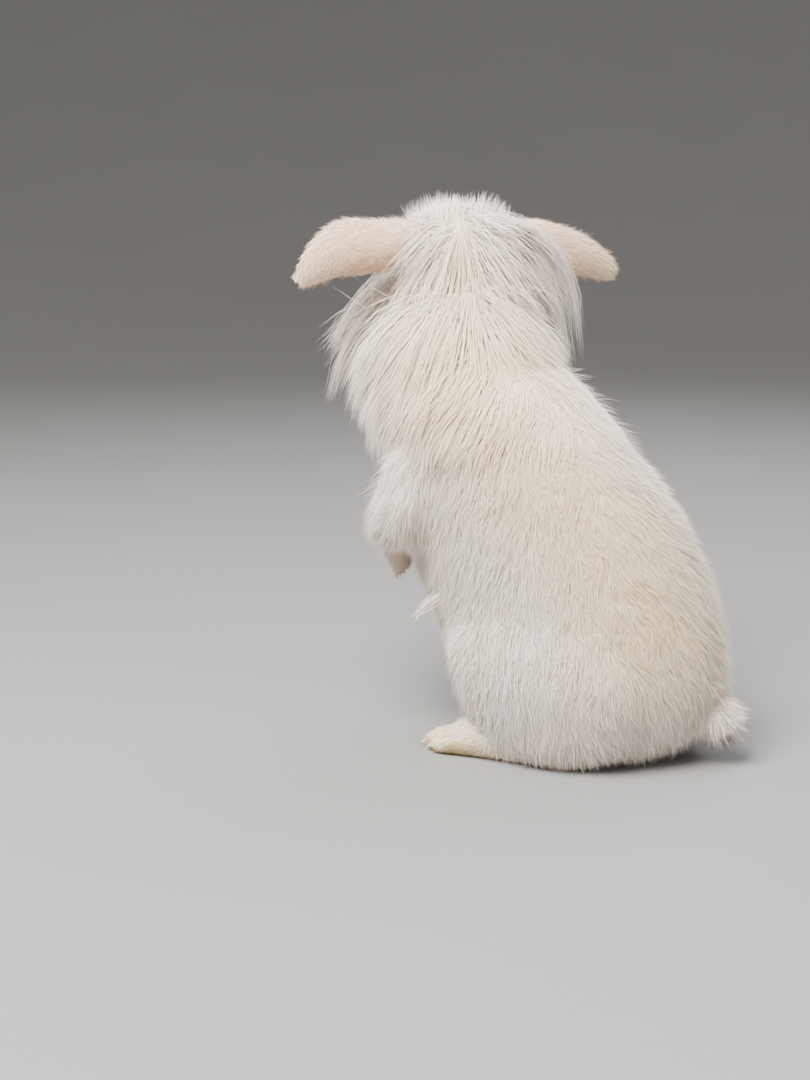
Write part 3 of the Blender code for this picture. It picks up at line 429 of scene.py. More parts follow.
def body_form():
    rows, middles, ahead = body_line()
    frames = directions(middles, ahead)
    frames[0] = (UP, OUT, FRONT)
    return swept(middles, frames, [(row.wide, row.front, row.back) for row in rows], 64)


def head_form():
    rows = eased(HEAD, 3)
    line = [in_head(0, row.ahead, row.lift) for row in rows]
    frames = [(None, HEAD_TURNED @ OUT, HEAD_TURNED @ UP)] * len(rows)
    return swept(line, frames, [(row.wide, row.top, row.bottom) for row in rows], 48)


def ball(half, around, upwards):
    """A ball with those half sizes in millimetres, in so many faces."""
    made = bmesh.new()
    bmesh.ops.create_uvsphere(made, u_segments=around, v_segments=upwards, radius=1.0)
    bmesh.ops.scale(made, vec=mm(*half), verts=made.verts)
    return made


def face_form(form, side=1):
    """One of the rounded forms of the face, in its place on the head."""
    made = ball(form[3:], 32, 20)
    place = HEAD_PLACE @ Matrix.Translation(mm(side * form.out, -form.ahead, form.up))
    bmesh.ops.transform(made, matrix=place, verts=made.verts)
    return made


def thigh_form(side):
    made = ball(THIGH_HALF, 48, 32)
    bmesh.ops.rotate(made, matrix=Matrix.Rotation(math.radians(-THIGH_LEAN), 3, "X"), verts=made.verts)
    out, back, up = THIGH_AT
    bmesh.ops.translate(made, vec=mm(side * out, back, up), verts=made.verts)
    for vert in made.verts:
        vert.co.z = max(vert.co.z, 0.0)
    return made


def ear_line(side):
    """The rows of an ear, and its middle line in place."""
    rows = eased(EARS[side], 4)
    sweep = Matrix.Rotation(math.radians(side * EAR_SWEEP[side]), 3, "Z")
    pivot = Vector((side * rows[0].out, -rows[0].ahead, rows[0].up))
    line = []
    for row in rows:
        local = Vector((side * row.out, -row.ahead, row.up))
        line.append(HEAD_PLACE @ ((pivot + sweep @ (local - pivot)) * MM))
    return rows, line


def ear_form(side):
    """A curled blade: each ring is the outer face from edge to edge, then the inner face back again."""
    rows, line = ear_line(side)
    rings = []
    for row, middle, along in zip(rows, line, ways(line)):
        behind = HEAD_TURNED @ (Matrix.Rotation(math.radians(row.lean), 3, "X") @ -FRONT)
        across = along.cross(behind).normalized()
        if across.z < 0:
            across = -across
        outward = across.cross(along).normalized()
        if outward.dot(behind) < 0:
            outward = -outward
        curl = math.radians(row.curl)
        radius = row.wide / curl
        chord = math.cos(min(curl / 2, math.pi / 2))
        ring = []
        for sign in (1, -1):
            for k in range(EAR_ACROSS):
                share = (2 * k / (EAR_ACROSS - 1) - 1) * sign
                angle = share * curl / 2
                r = radius + sign * row.thick / 2 * (1 - EAR_THINNING * share * share)
                flat = across * math.sin(angle) * r + outward * (math.cos(angle) * r - radius * chord)
                ring.append(middle + flat * MM)
        rings.append(ring)
    return loft(rings)


def capsule(start, end, radius, end_radius, sides=16):
    """A rounded finger from start to end."""
    along = (end - start).normalized()
    left = along.cross(UP if abs(along.z) < 0.9 else -FRONT).normalized()
    front = left.cross(along)
    caps = [(math.sqrt(1 - k * k), k) for k in CAP_SHARES]
    spots = [(start - along * radius * beyond, radius * k) for beyond, k in caps]
    spots += [(start, radius), (end, end_radius)]
    spots += [(end + along * end_radius * beyond, end_radius * k) for beyond, k in reversed(caps)]
    return loft([oval(middle, left, front, reach, sides=sides) for middle, reach in spots])


def claw(start, along, down, size, steps=8):
    """A curved claw with a blunt point, its root at start. size is its length and its radius."""
    length, radius = (value * MM for value in size)
    rings = []
    left = along.cross(down).normalized()
    for k in range(steps + 1):
        share = k / steps
        middle = start + along * (length * share) + down * (length * CLAW_DROP * share * share)
        reach = radius * (1 - CLAW_THINNING * share**CLAW_BLUNTNESS)
        heading = (along + down * CLAW_BEND * share).normalized()
        rings.append(oval(middle, left, left.cross(heading), reach, reach * 1.25, sides=12))
    return loft(rings)


def hind_foot_forms(side):
    """The long foot with its toes, and its claws."""
    turn = Matrix.Rotation(math.radians(side * HIND_SPLAY), 3, "Z")
    heel, ahead, left = mm(side * HIND_HEEL[0], HIND_HEEL[1], 0), turn @ FRONT, turn @ OUT
    rows = eased(HIND_FOOT, 3)
    line = [heel + ahead * row.ahead * MM + UP * row.high * 0.42 * MM for row in rows]
    sizes = [(row.wide, row.high * 0.58, row.high * 0.55) for row in rows]
    forms = [swept(line, [(ahead, left, UP)] * len(rows), sizes)]
    claws = []
    radius = HIND_TOE_RADIUS * MM
    for place, reach in zip(HIND_TOES, HIND_TOE_REACH):
        start = heel + ahead * HIND_TOE_FROM * MM + left * place * 0.8 * MM + UP * HIND_TOE_FROM_HIGH * MM
        end = heel + ahead * (reach - HIND_TOE_RADIUS) * MM + left * place * MM + UP * HIND_TOE_RADIUS * MM
        forms.append(capsule(start, end, radius * 1.15, radius))
        claws.append(claw(end + ahead * radius * 0.3 - UP * 0.5 * MM, ahead, -UP, HIND_CLAW))
    return forms, claws


def foreleg_line(side):
    """The rows of a foreleg, its middle line from the shoulder to the wrist, and its directions."""
    turn = Matrix.Rotation(math.radians(-FORELEG_TURN), 3, "Z")
    middle = Vector((*CHEST_AT, 0))
    rows = eased(FORELEG, 3)
    line = [(middle + turn @ Vector((side * r.out, -r.ahead, r.high))) * MM for r in rows]
    return rows, line, directions(line, [FRONT] * len(line))


def forepaw_forms(side):
    """The small hanging paw with its toes, and its claws."""
    rows, line, frames = foreleg_line(side)
    along, left, front = frames[-1]
    start, length, radius = line[-1] - along * MM, FOREPAW_LENGTH * MM, rows[-1].radius
    middles = [start + along * length * share for share, _ in FOREPAW]
    sizes = [(radius * size, radius * size * 0.8) for _, size in FOREPAW]
    forms = [swept(middles, frames[-1:] * len(FOREPAW), sizes, 24)]
    claws = []
    for place in FOREPAW_TOES:
        toe = start + along * length * FOREPAW_TOE_FROM + left * place * MM
        tip = start + along * length * (FOREPAW_TOE_TO - 0.012 * abs(place)) + left * place * 1.1 * MM
        forms.append(capsule(toe, tip, *(reach * MM for reach in FOREPAW_TOE_RADII), 12))
        claws.append(claw(tip + along * MM, along, -front, FORE_CLAW))
    return forms, claws


def tail_line():
    """The rows of the tail, its middle line and its directions."""
    rows = eased(TAIL, 3)
    line = [mm(0, row.y, row.z) for row in rows]
    return rows, line, directions(line, [UP] * len(line))


def all_forms():
    """Every form of the flesh with its region, and the claws of each foot."""
    forms = [("body", body_form()), ("head", head_form()), ("tail", round_form(*tail_line()))]
    forms += [("head", face_form(form, side)) for form in (CHEEK, WHISKER_PAD) for side in SIDES]
    forms += [("head", face_form(form)) for form in (NOSE, CHIN, MUZZLE)]
    claws = []
    for side, name in SIDES.items():
        forms += [("ear", ear_form(side)), ("thigh", thigh_form(side))]
        forms.append(("foreleg", round_form(*foreleg_line(side))))
        for region, kind, build in (("foot", "hind", hind_foot_forms), ("paw", "fore", forepaw_forms)):
            flesh, nails = build(side)
            forms += [(region, form) for form in flesh]
            claws.append((f"claws_{kind}_{name}", nails))
    return forms, claws


def put(name, data):
    """An object of that name at the origin."""
    thing = bpy.data.objects.new(name, data)
    bpy.context.scene.collection.objects.link(thing)
    return thing


def mesh_of(name, made):
    """The bmesh, which is used up, as a smooth mesh."""
    mesh = bpy.data.meshes.new(name)
    made.to_mesh(mesh)
    made.free()
    mesh.shade_smooth()
    return mesh


def make_piece(piece, finish, slot, *nodes):
    """Gives a piece its finish and hides the nodes that it stands for. slot is not used."""
    piece.data.materials.append(finish)
    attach(piece, "root")
    if nodes:
        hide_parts(*nodes)


def joined(forms):
    """One bmesh of all the forms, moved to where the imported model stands, and how many faces each has."""
    whole = bmesh.new()
    counts = []
    for form in forms:
        mesh = mesh_of("form", form)
        whole.from_mesh(mesh)
        counts.append(len(mesh.polygons))
        bpy.data.meshes.remove(mesh)
    bmesh.ops.translate(whole, vec=SHIFT, verts=whole.verts)
    return whole, counts


def remeshed(made):
    """One closed surface round all of the bmesh, in small even faces, finer at the eyes and the nose."""
    mesh = mesh_of("flesh", made)
    thing = put("flesh", mesh)
    modifier = thing.modifiers.new("wrap", "REMESH")
    modifier.mode = "VOXEL"
    modifier.voxel_size = SKIN_VOXEL * MM
    even = thing.modifiers.new("even", "SMOOTH")
    even.factor = 0.5
    even.iterations = 6
    graph = bpy.context.evaluated_depsgraph_get()
    skin = bpy.data.meshes.new_from_object(thing.evaluated_get(graph), depsgraph=graph)
    bpy.data.objects.remove(thing)
    bpy.data.meshes.remove(mesh)
    spots = [(eye_middle(side), FINE_ABOUT_EYE) for side in SIDES]
    spots.append((in_head(0, 79, -12) + SHIFT, FINE_ABOUT_NOSE))
    made = bmesh.new()
    made.from_mesh(skin)
    fine = [e for e in made.edges if any((e.verts[0].co - at).length < reach * MM for at, reach in spots)]
    bmesh.ops.subdivide_edges(made, edges=fine, cuts=2, use_grid_fill=True)
    made.to_mesh(skin)
    made.free()
    skin.shade_smooth()
    return skin


def read_out(items, field, width=3, kind=np.float32):
    """One field of a mesh's items, in rows of that width."""
    values = np.empty(len(items) * width, kind)
    items.foreach_get(field, values)
    return values.reshape(-1, width)


def add_marks(mesh, values):
    """Puts numbers on the points of a mesh, each under its own name."""
    for label, numbers in values.items():
        mesh.attributes.new(label, "FLOAT", "POINT").data.foreach_set("value", numbers.astype(np.float32))


def unit(rows):
    return rows / np.maximum(np.linalg.norm(rows, axis=-1, keepdims=True), 1e-9)


def spread(values, edges, rounds):
    """Values at the points of a mesh, each evened out with its neighbours' several times over."""
    count = np.bincount(edges.ravel(), minlength=len(values)).astype(float)
    shape = (-1,) + (1,) * (values.ndim - 1)
    for _ in range(rounds):
        total = np.zeros_like(values)
        for column in np.ndindex(values.shape[1:]):
            where = (slice(None),) + column
            total[where] += np.bincount(edges[:, 0], values[edges[:, 1]][where], len(values))
            total[where] += np.bincount(edges[:, 1], values[edges[:, 0]][where], len(values))
        values = (values + total / np.maximum(count, 1).reshape(shape)) / 2
    return values


def laid(flow, normals):
    """The flow without what points into or out of the surface."""
    return flow - normals * np.einsum("ij,ij->i", flow, normals)[:, None]


def along_line(points, line):
    """For each point, the way the line runs where it is nearest."""
    line = stood(line)
    runs = unit(np.gradient(line, axis=0))
    nearest = np.argmin(np.linalg.norm(points[:, None, :] - line[None, :, :], axis=2), axis=1)
    return runs[nearest]


def at_heights(points, line, rows):
    """For each point, the rows where the line has the point's height."""
    return np.column_stack([np.interp(points[:, 2], line[:, 2], column) for column in rows.T])


def turned_from(azimuths, azimuth):
    """How far each azimuth is from another, from -180 to 180 degrees."""
    return (azimuths - azimuth + 180) % 360 - 180


def round_neck(points):
    """For each point, its azimuth round the middle line of the body."""
    middles = body_line()[1]
    heights = [p.z for p in middles]
    columns = [[p[k] + SHIFT[k] for p in middles] for k in range(2)]
    out = points[:, :2] - np.column_stack([np.interp(points[:, 2], heights, column) for column in columns])
    return np.degrees(np.arctan2(out[:, 0], -out[:, 1]))


def body_flow(points):
    """Down the body, and away from the spine to both sides above the haunches."""
    rows, middles, _ = body_line()
    line = stood(middles)
    down = -at_heights(points, line, unit(np.gradient(line, axis=0)))
    turn = np.radians(np.interp(points[:, 2], line[:, 2], [row.turn for row in rows]))
    back = np.column_stack((np.sin(turn), np.cos(turn), np.zeros(len(turn))))
    side = np.column_stack((np.cos(turn), -np.sin(turn), np.zeros(len(turn))))
    out = points - at_heights(points, line, line)
    angle = np.arctan2(np.einsum("ij,ij->i", out, side), np.einsum("ij,ij->i", out, back))
    sweep = np.interp(points[:, 2] / MM, SWEEP_HEIGHTS, SWEEPS)
    away = side * np.cos(angle)[:, None] - back * np.sin(angle)[:, None]
    sideways = np.sin(np.clip(np.abs(angle), 0, math.pi)) * np.sign(angle) * sweep
    return down + away * sideways[:, None]


def head_flow(points):
    """Back from the nose over the head, and down at its sides and its back."""
    back = np.array(HEAD_TURNED @ -FRONT)
    down = np.clip(((points - np.array(in_head(0, 62, 0) + SHIFT)) @ back) / MM / 62, 0.05, 1.0)
    return back + DOWN * (0.9 * down[:, None] + 0.1)


def flow_of(region, points):
    """The way the coat lies there, before it is laid on the skin."""
    if region in FIXED_FLOWS:
        return np.tile(np.array(FIXED_FLOWS[region]), (len(points), 1))
    if region in ("body", "neck"):
        return body_flow(points)
    if region == "head":
        return head_flow(points)
    if region == "tail":
        return along_line(points, tail_line()[1]) + DOWN * 0.5
    line_of = ear_line if region == "ear" else foreleg_line
    lines = [line_of(side)[1] for side in SIDES]
    far = [np.linalg.norm(points - stood(line).mean(axis=0), axis=1) for line in lines]
    flows = along_line(points, lines[0])
    flows[far[1] < far[0]] = along_line(points[far[1] < far[0]], lines[1])
    return flows


Skin = namedtuple("Skin", "mesh points normals edges flow fields shares marks")
Roots = namedtuple("Roots", "points normals flow fields shares marks uvs")


def share_of(shares, *regions):
    """How much of a point belongs to those regions."""
    return shares[:, [REGIONS.index(region) for region in regions]].sum(axis=1)


def in_head_frame(points):
    """Places given in the head's own frame, in millimetres: out to its left, ahead from its back, and up."""
    inverse = np.array((Matrix.Translation(SHIFT) @ HEAD_PLACE).inverted())
    local = (points @ inverse[:3, :3].T + inverse[:3, 3]) / MM
    return np.column_stack((local[:, 0], -local[:, 1], local[:, 2]))


def off_path(points, path):
    """How far each point is from a path, in the path's own units."""
    best = np.full(len(points), 1e9)
    for start, end in zip(path[:-1], path[1:]):
        start, end = np.array(start, float), np.array(end, float)
        run = end - start
        share = np.clip((points - start) @ run / (run @ run), 0, 1)
        best = np.minimum(best, np.linalg.norm(points - start - share[:, None] * run, axis=1))
    return best


def shape_eye(points, side):
    """Lays the skin round an eyeball and opens its lids. Returns where no coat grows."""
    turned = np.array(HEAD_TURNED)
    middle = np.array(eye_middle(side))
    look = unit(turned @ np.array((side * EYE_LOOK[0], -EYE_LOOK[1], EYE_LOOK[2])))
    forward = unit(np.cross(look, turned[:, 2]))
    from_eye = (points - middle) / MM
    far = np.linalg.norm(from_eye, axis=1)
    out = from_eye @ look
    long = np.degrees(np.arctan2(from_eye @ forward, out)) / LID_HALF_LONG
    tall = np.degrees(np.arctan2(from_eye @ np.cross(forward, look), out)) / LID_HALF_TALL
    off = np.hypot(long, tall)
    here = (far < FINE_ABOUT_EYE) & (out > 0) & (off < SOCKET_END)
    rim = EYE_RADIUS + LID_RIM * np.exp(-(((off - LID_RIM_AT) / LID_RIM_WIDE) ** 2))
    inside = EYE_RADIUS - LID_SUNK * np.clip((LID_EDGE - off) / 0.1, 0, 1)
    lids = np.where(off < LID_EDGE, np.minimum(rim, inside), rim)
    blend = np.clip((SOCKET_TO - off) / SOCKET_FADE, 0, 1)
    above = np.maximum(far, EYE_RADIUS + 0.3) * (1 - blend) + lids * blend
    above = np.maximum(above, far * (1 - blend) + above * blend)
    radius = np.where(off < LIDS_TO, lids, above)
    points[here] = middle + from_eye[here] / far[here, None] * radius[here, None] * MM
    within = (far < EYE_RADIUS + BALL_ROOM) & ~here
    points[within] = middle + from_eye[within] / far[within, None] * (EYE_RADIUS + BALL_ROOM) * MM
    return np.where(here, np.clip((1.25 - off) / 0.14, 0, 1), 0)


def shape_face(points, normals):
    """Opens the lids and draws the nostrils and the line of the mouth. Returns where no coat grows."""
    points = points.copy()
    bare = np.maximum(*[shape_eye(points, side) for side in SIDES])
    local = in_head_frame(points)
    local[:, 0] = np.abs(local[:, 0])
    front = (local[:, 1] > LINES_FROM) & (local[:, 2] < 0)
    for path, deep, wide in ((MOUTH, MOUTH_DEEP, MOUTH_WIDE), (NOSTRIL, NOSTRIL_DEEP, NOSTRIL_WIDE)):
        near = np.exp(-((off_path(local[:, [0, 2]], path) / wide) ** 2)) * front
        points -= normals * (near * deep * MM)[:, None]
        bare = np.maximum(bare, np.clip(near * 2 - 0.4, 0, 1))
    return points, bare


def markings(points, normals, shares, bare):
    """Where the coat is creamy, with painted shade in the crease under the nape and down the parting in the
    same mark, where it is peach, and where pink skin shows, from 0 to 1.
    """
    azimuth, high = round_neck(points), points[:, 2] / MM
    off = turned_from(azimuth, np.interp(high, BAND_HEIGHTS, BAND_AZIMUTHS)) / BAND_WIDE
    cream_and_shade = np.exp(-(off**2)) * np.interp(high, CREAM_HEIGHTS, CREAM_SHARES)
    # Painted shade: a darker patch in the crease under the nape and a line down the parting, laid into the
    # creamy mark.
    off = turned_from(azimuth, CREASE_SHADE_AZIMUTH) / CREASE_SHADE_WIDE
    crease_shade = np.exp(-(((high - CREASE_SHADE_HEIGHT) / CREASE_SHADE_TALL) ** 2) - off**2)
    off = turned_from(azimuth, PARTING_SHADE_AZIMUTH) / PARTING_SHADE_WIDE
    parting = np.exp(-(off**2)) * (high > PARTING_SHADE_FROM)
    cream_and_shade = np.maximum(cream_and_shade, np.maximum(crease_shade, 0.8 * parting))
    local = in_head_frame(points)
    ear = share_of(shares, "ear")
    off = (np.abs(local[:, 0]) - BLUSH_OUT) / BLUSH_WIDE
    blush = np.exp(-(off**2)) * np.clip((12 - local[:, 2]) / 16, 0, 1)
    inner = np.clip(normals @ np.array(HEAD_TURNED @ INNER_LOOK) * 2.5, 0, 1)
    peach = ear * (0.6 + 0.4 * blush) + 0.3 * share_of(shares, "paw")
    off_nose = off_path(local[:, [0, 2]], NOSE_LEATHER) / NOSE_LEATHER_WIDE
    nose = np.exp(-(off_nose**2)) * (local[:, 1] > 70)
    pink = np.maximum(np.maximum(ear * inner, nose * 0.9), bare * 0.8)
    return np.column_stack((np.maximum(cream_and_shade, 0), peach, pink))


def face_share(points):
    """How long the coat is on the head next to its full length: least at the nose and round the eyes."""
    local = in_head_frame(points)
    ahead = np.interp(local[:, 1], FACE_AHEAD, FACE_SHARES)
    return np.where((np.abs(local[:, 0]) < 40) & (local[:, 2] > -45), ahead, 1.0)


def regions_at(mesh, flesh, regions):
    """The region of the form that is nearest to each point of the mesh, with the neck as one of its own."""
    found = regions[[flesh.find_nearest(vert.co)[2] for vert in mesh.vertices]]
    high = read_out(mesh.vertices, "co")[:, 2].astype(float) > NECK_FROM_Z * MM
    found[(found == REGIONS.index("body")) & high] = REGIONS.index("neck")
    return found


def adjust_fields(fields, points, normals, edges, shares):
    """Makes the coat thin at the floor, full at the ears' rims, long over the tail and short on the face."""
    low = np.clip((26 - points[:, 2] / MM) / 18, 0, 1)
    plush = share_of(shares, "body", "thigh")
    rim = 1 - np.linalg.norm(spread(normals, edges, RIM_ROUNDS), axis=1)
    rim = np.clip(rim * 3 - 0.3, 0, 1) * share_of(shares, "ear")
    fields[:, DEPTH] *= 1 - 0.75 * low
    fields[:, TALL] += 3.2 * rim
    fields[:, MANY] *= 1 + 0.5 * rim
    fields[:, MANY] *= 1 + 0.6 * low * plush
    from_tail = np.linalg.norm(points - np.array(mm(*OVER_TAIL) + SHIFT), axis=1) / MM
    over_tail = np.exp(-((from_tail / OVER_TAIL_REACH) ** 2)) * plush
    fields[:, LENGTH] *= 1 + 0.7 * over_tail
    fields[:, TALL] += 6.5 * over_tail
    fields[:, [DEPTH, LENGTH, WIDE, TALL]] *= face_share(points)[:, None] ** np.array((1.5, 1, 1, 1))


def build_skin(forms):
    """The skin, inside the solids by the coat's depth, and what the coat needs at each of its points."""
    whole, counts = joined([form for _, form in forms])
    flesh = BVHTree.FromBMesh(whole)
    mesh = remeshed(whole)
    points, normals = (read_out(mesh.vertices, field).astype(float) for field in ("co", "normal"))
    edges = read_out(mesh.edges, "vertices", 2, np.int32)
    region = regions_at(mesh, flesh, np.repeat([REGIONS.index(name) for name, _ in forms], counts))
    shares = spread(np.eye(len(REGIONS))[region], edges, REGION_ROUNDS)
    shares /= shares.sum(axis=1, keepdims=True)
    fields = shares @ np.array([COATS[name] for name in REGIONS])
    flow = np.zeros_like(points)
    for index, name in enumerate(REGIONS):
        some = shares[:, index] > 0.01
        flow[some] += unit(flow_of(name, points[some])) * shares[some, index : index + 1]
    adjust_fields(fields, points, normals, edges, shares)
    points = points - normals * (spread(fields[:, DEPTH], edges, DEPTH_ROUNDS) * MM)[:, None]
    shoulder = share_of(shares, "foreleg") * (points[:, 2] > SHOULDER_FROM_Z * MM)
    shoulder = np.clip(4 * spread(shoulder, edges, SHOULDER_ROUNDS), 0, 1)[:, None]
    points = points * (1 - shoulder) + spread(points, edges, SHOULDER_FLAT_ROUNDS) * shoulder
    fields[:, TALL] *= 1 - 0.4 * shoulder[:, 0]
    points[:, 2] = np.maximum(points[:, 2], 0.5 * MM)
    flow = spread(unit(laid(flow, normals)), edges, FLOW_ROUNDS)
    points, bare = shape_face(points, normals)
    fields[:, MANY] *= 1 - bare
    mesh.vertices.foreach_set("co", points.astype(np.float32).ravel())
    mesh.update()
    normals = read_out(mesh.vertices, "normal").astype(float)
    marks = markings(points, normals, shares, bare)
    fields[:, [LENGTH, WIDE, TALL, MANY]] *= 1 - np.outer(marks[:, BARE], (0.35, 0.3, 0.5, 0.45))
    add_marks(mesh, dict(zip(MARKS, marks.T)))
    return Skin(mesh, points, normals, edges, unit(laid(flow, normals)), fields, shares, marks)


def unwrap(thing):
    """Unwraps the skin, so that a tuft can take its place on that map from its root."""
    thing.data.uv_layers.new(name="OFBake")
    bpy.context.view_layer.objects.active = thing
    thing.select_set(True)
    bpy.ops.object.mode_set(mode="EDIT")
    bpy.ops.mesh.select_all(action="SELECT")
    bpy.ops.uv.smart_project(angle_limit=math.radians(70), island_margin=0.002)
    bpy.ops.object.mode_set(mode="OBJECT")


def scatter(skin, many, chance):
    """Roots spread over the skin, as many to a square millimetre as said, and what they find on it."""
    skin.mesh.calc_loop_triangles()
    triangles = skin.mesh.loop_triangles
    corners, loops = (read_out(triangles, field, 3, np.int32) for field in ("vertices", "loops"))
    uvs = read_out(skin.mesh.uv_layers["OFBake"].data, "uv", 2)
    a, b, c = (skin.points[corners[:, k]] for k in range(3))
    areas = np.linalg.norm(np.cross(b - a, c - a), axis=1) / 2 / MM**2
    filled = np.cumsum(areas * many[corners].mean(axis=1))
    places = np.arange(int(filled[-1])) + chance.random(int(filled[-1]))
    chosen = np.minimum(np.searchsorted(filled, places), len(corners) - 1)
    first, second = np.sqrt(chance.random(len(chosen))), chance.random(len(chosen))
    weights = np.column_stack((1 - first, first * (1 - second), first * second))

    def read(values, index=corners):
        return np.einsum("ij,ij...->i...", weights, values[index[chosen]])

    ways_found = unit(read(skin.normals)), unit(read(skin.flow))
    found = (read(values) for values in (skin.fields, skin.shares, skin.marks))
    return Roots(read(skin.points), *ways_found, *found, read(uvs, loops))


def tree_of(points):
    """A tree that finds the nearest of the points."""
    tree = KDTree(len(points))
    for k, point in enumerate(points):
        tree.insert(point, k)
    tree.balance()
    return tree


def rooted(skin, paths, outs):
    """Roots for free paths, with those normals and with what the skin has nearest to each path's start."""
    nearest = tree_of(skin.points)
    home = np.array([nearest.find(path[0])[1] for path in paths])
    places = np.zeros((len(skin.points), 2))
    corners = read_out(skin.mesh.loops, "vertex_index", 1, np.int32)[:, 0]
    places[corners] = read_out(skin.mesh.uv_layers["OFBake"].data, "uv", 2)
    found = (values[home] for values in (skin.fields, skin.shares, skin.marks, places))
    return Roots(skin.points[home], outs, outs, *found)


def some_of(roots, which):
    """The roots that are chosen by a mask or an order."""
    return Roots(*(values[which] for values in roots))


def white_roots(roots):
    """The roots without the colours of the skin that they grow on."""
    marks = roots.marks.copy()
    marks[:, 1:] = 0
    return roots._replace(marks=marks)


def clear_of(tree, points, least, onto=False):
    """The points, with any that is too near to the skin, or all of them, brought to its height over the skin
    and clear of the floor, and the skin's normals there."""
    out, normals = points.copy(), np.empty_like(points)
    for i, (point, room) in enumerate(zip(points, least)):
        near, normal, _, distance = tree.find_nearest(point)
        normals[i] = normal
        if onto or distance < room or (Vector(point) - near).dot(normal) < 0:
            out[i] = near + normal * room
    out[:, 2] = np.maximum(out[:, 2], FLOOR_ROOM * MM)
    return out, normals


def gathered(points, ends, roots, pull, chance, share=0.09):
    """Draws each tuft's points towards those of the nearest leader, most at the tip."""
    leaders = chance.choice(len(roots), max(int(len(roots) * share), 1), replace=False)
    nearest = tree_of(roots[leaders])
    mine = leaders[[nearest.find(root)[1] for root in roots]]
    return [rows + (rows[mine] - rows) * (pull * much)[:, None] for rows, much in zip(points, ends)]


def short_paths(roots, tree, chance):
    """The paths of tufts with a root and a tip, lying along the skin, a few of them standing off."""
    _, length, wide, tall, pull, _ = roots.fields.T
    count = len(length)
    length = length * chance.uniform(0.7, 1.25, count) * MM
    ruffled = np.array([noise.noise(point) for point in roots.points * RUFFLES])
    across = chance.normal(0, 0.28, count) + 1.1 * ruffled * np.clip(length / MM / 13, 0, 1)
    heading = unit(roots.flow + np.cross(roots.normals, roots.flow) * across[:, None])
    start = roots.points - roots.normals * 0.8 * MM
    standing = chance.random(count) ** 7
    height = tall * (chance.uniform(0.5, 1.0, count) + 1.0 * standing) * MM
    tip, there = clear_of(tree, roots.points + heading * length[:, None], height + 0.2 * MM, onto=True)
    strength = pull * chance.uniform(0.3, 1.0, count) * (1 - 0.7 * standing)
    (tip,) = gathered((tip,), (1.0,), roots.points, strength, chance)
    clear = np.einsum("ij,ij->i", there, roots.normals) > 0.15
    wide = wide * chance.uniform(0.7, 1.3, count) * MM
    return np.stack((start, tip), axis=1)[clear], some_of(roots, clear), wide[clear]


def mane_share(points, normals, shares):
    """How much of the mane grows there: round the neck, over the nape and the crown, and down the cheeks."""
    _, ahead, up = in_head_frame(points).T
    head = share_of(shares, "head")
    neck = share_of(shares, "neck", "body") * np.clip((points[:, 2] / MM - 146) / 40, 0, 1)
    back = np.clip((28 - ahead) / 10, 0, 1)
    neck *= 1 - back * np.clip(3 * head, 0, 1)
    behind = back * np.clip((normals[:, 2] + 0.45) / 0.3, 0, 1)
    top = np.clip((42 - ahead) / 8, 0, 1) * np.clip((up - 14) / 6, 0, 1)
    cheek = np.clip((37 - ahead) / 8, 0, 1) * np.clip((8 - up) / 6, 0, 1)
    return np.clip(neck + head * np.maximum(np.maximum(behind, top), cheek), 0, 1)


def crown_share(points):
    """How much the hair there belongs to the tuft that stands on the crown."""
    _, ahead, up = in_head_frame(points).T
    return np.clip((up - 7) / 8, 0, 1) * np.clip((ahead - 6) / 8, 0, 1)


def mane_flow(roots):
    """Away from the parting to both sides, and down. It hangs at the throat, and runs back over the face."""
    points, high = roots.points, roots.points[:, 2] / MM
    off = turned_from(round_neck(points), np.interp(high, PARTING_HEIGHTS, PARTING_AZIMUTHS))
    around = np.column_stack((-roots.normals[:, 1], roots.normals[:, 0], np.zeros(len(points))))
    side = np.tanh(off / 10) * np.clip(np.cos(np.radians(off * 0.92)), 0, 1)
    ahead = in_head_frame(points)[:, 1]
    lower = np.interp(high, SIDEWAYS_HEIGHTS, SIDEWAYS) * np.clip((34 - ahead) / 14, 0, 1)
    flow = DOWN + unit(around) * (side * lower)[:, None]
    face = (np.clip((ahead - 14) / 14, 0, 1) * share_of(roots.shares, "head"))[:, None]
    flow = unit(flow) * (1 - face) + unit(head_flow(points)) * face
    return unit(laid(flow, roots.normals))


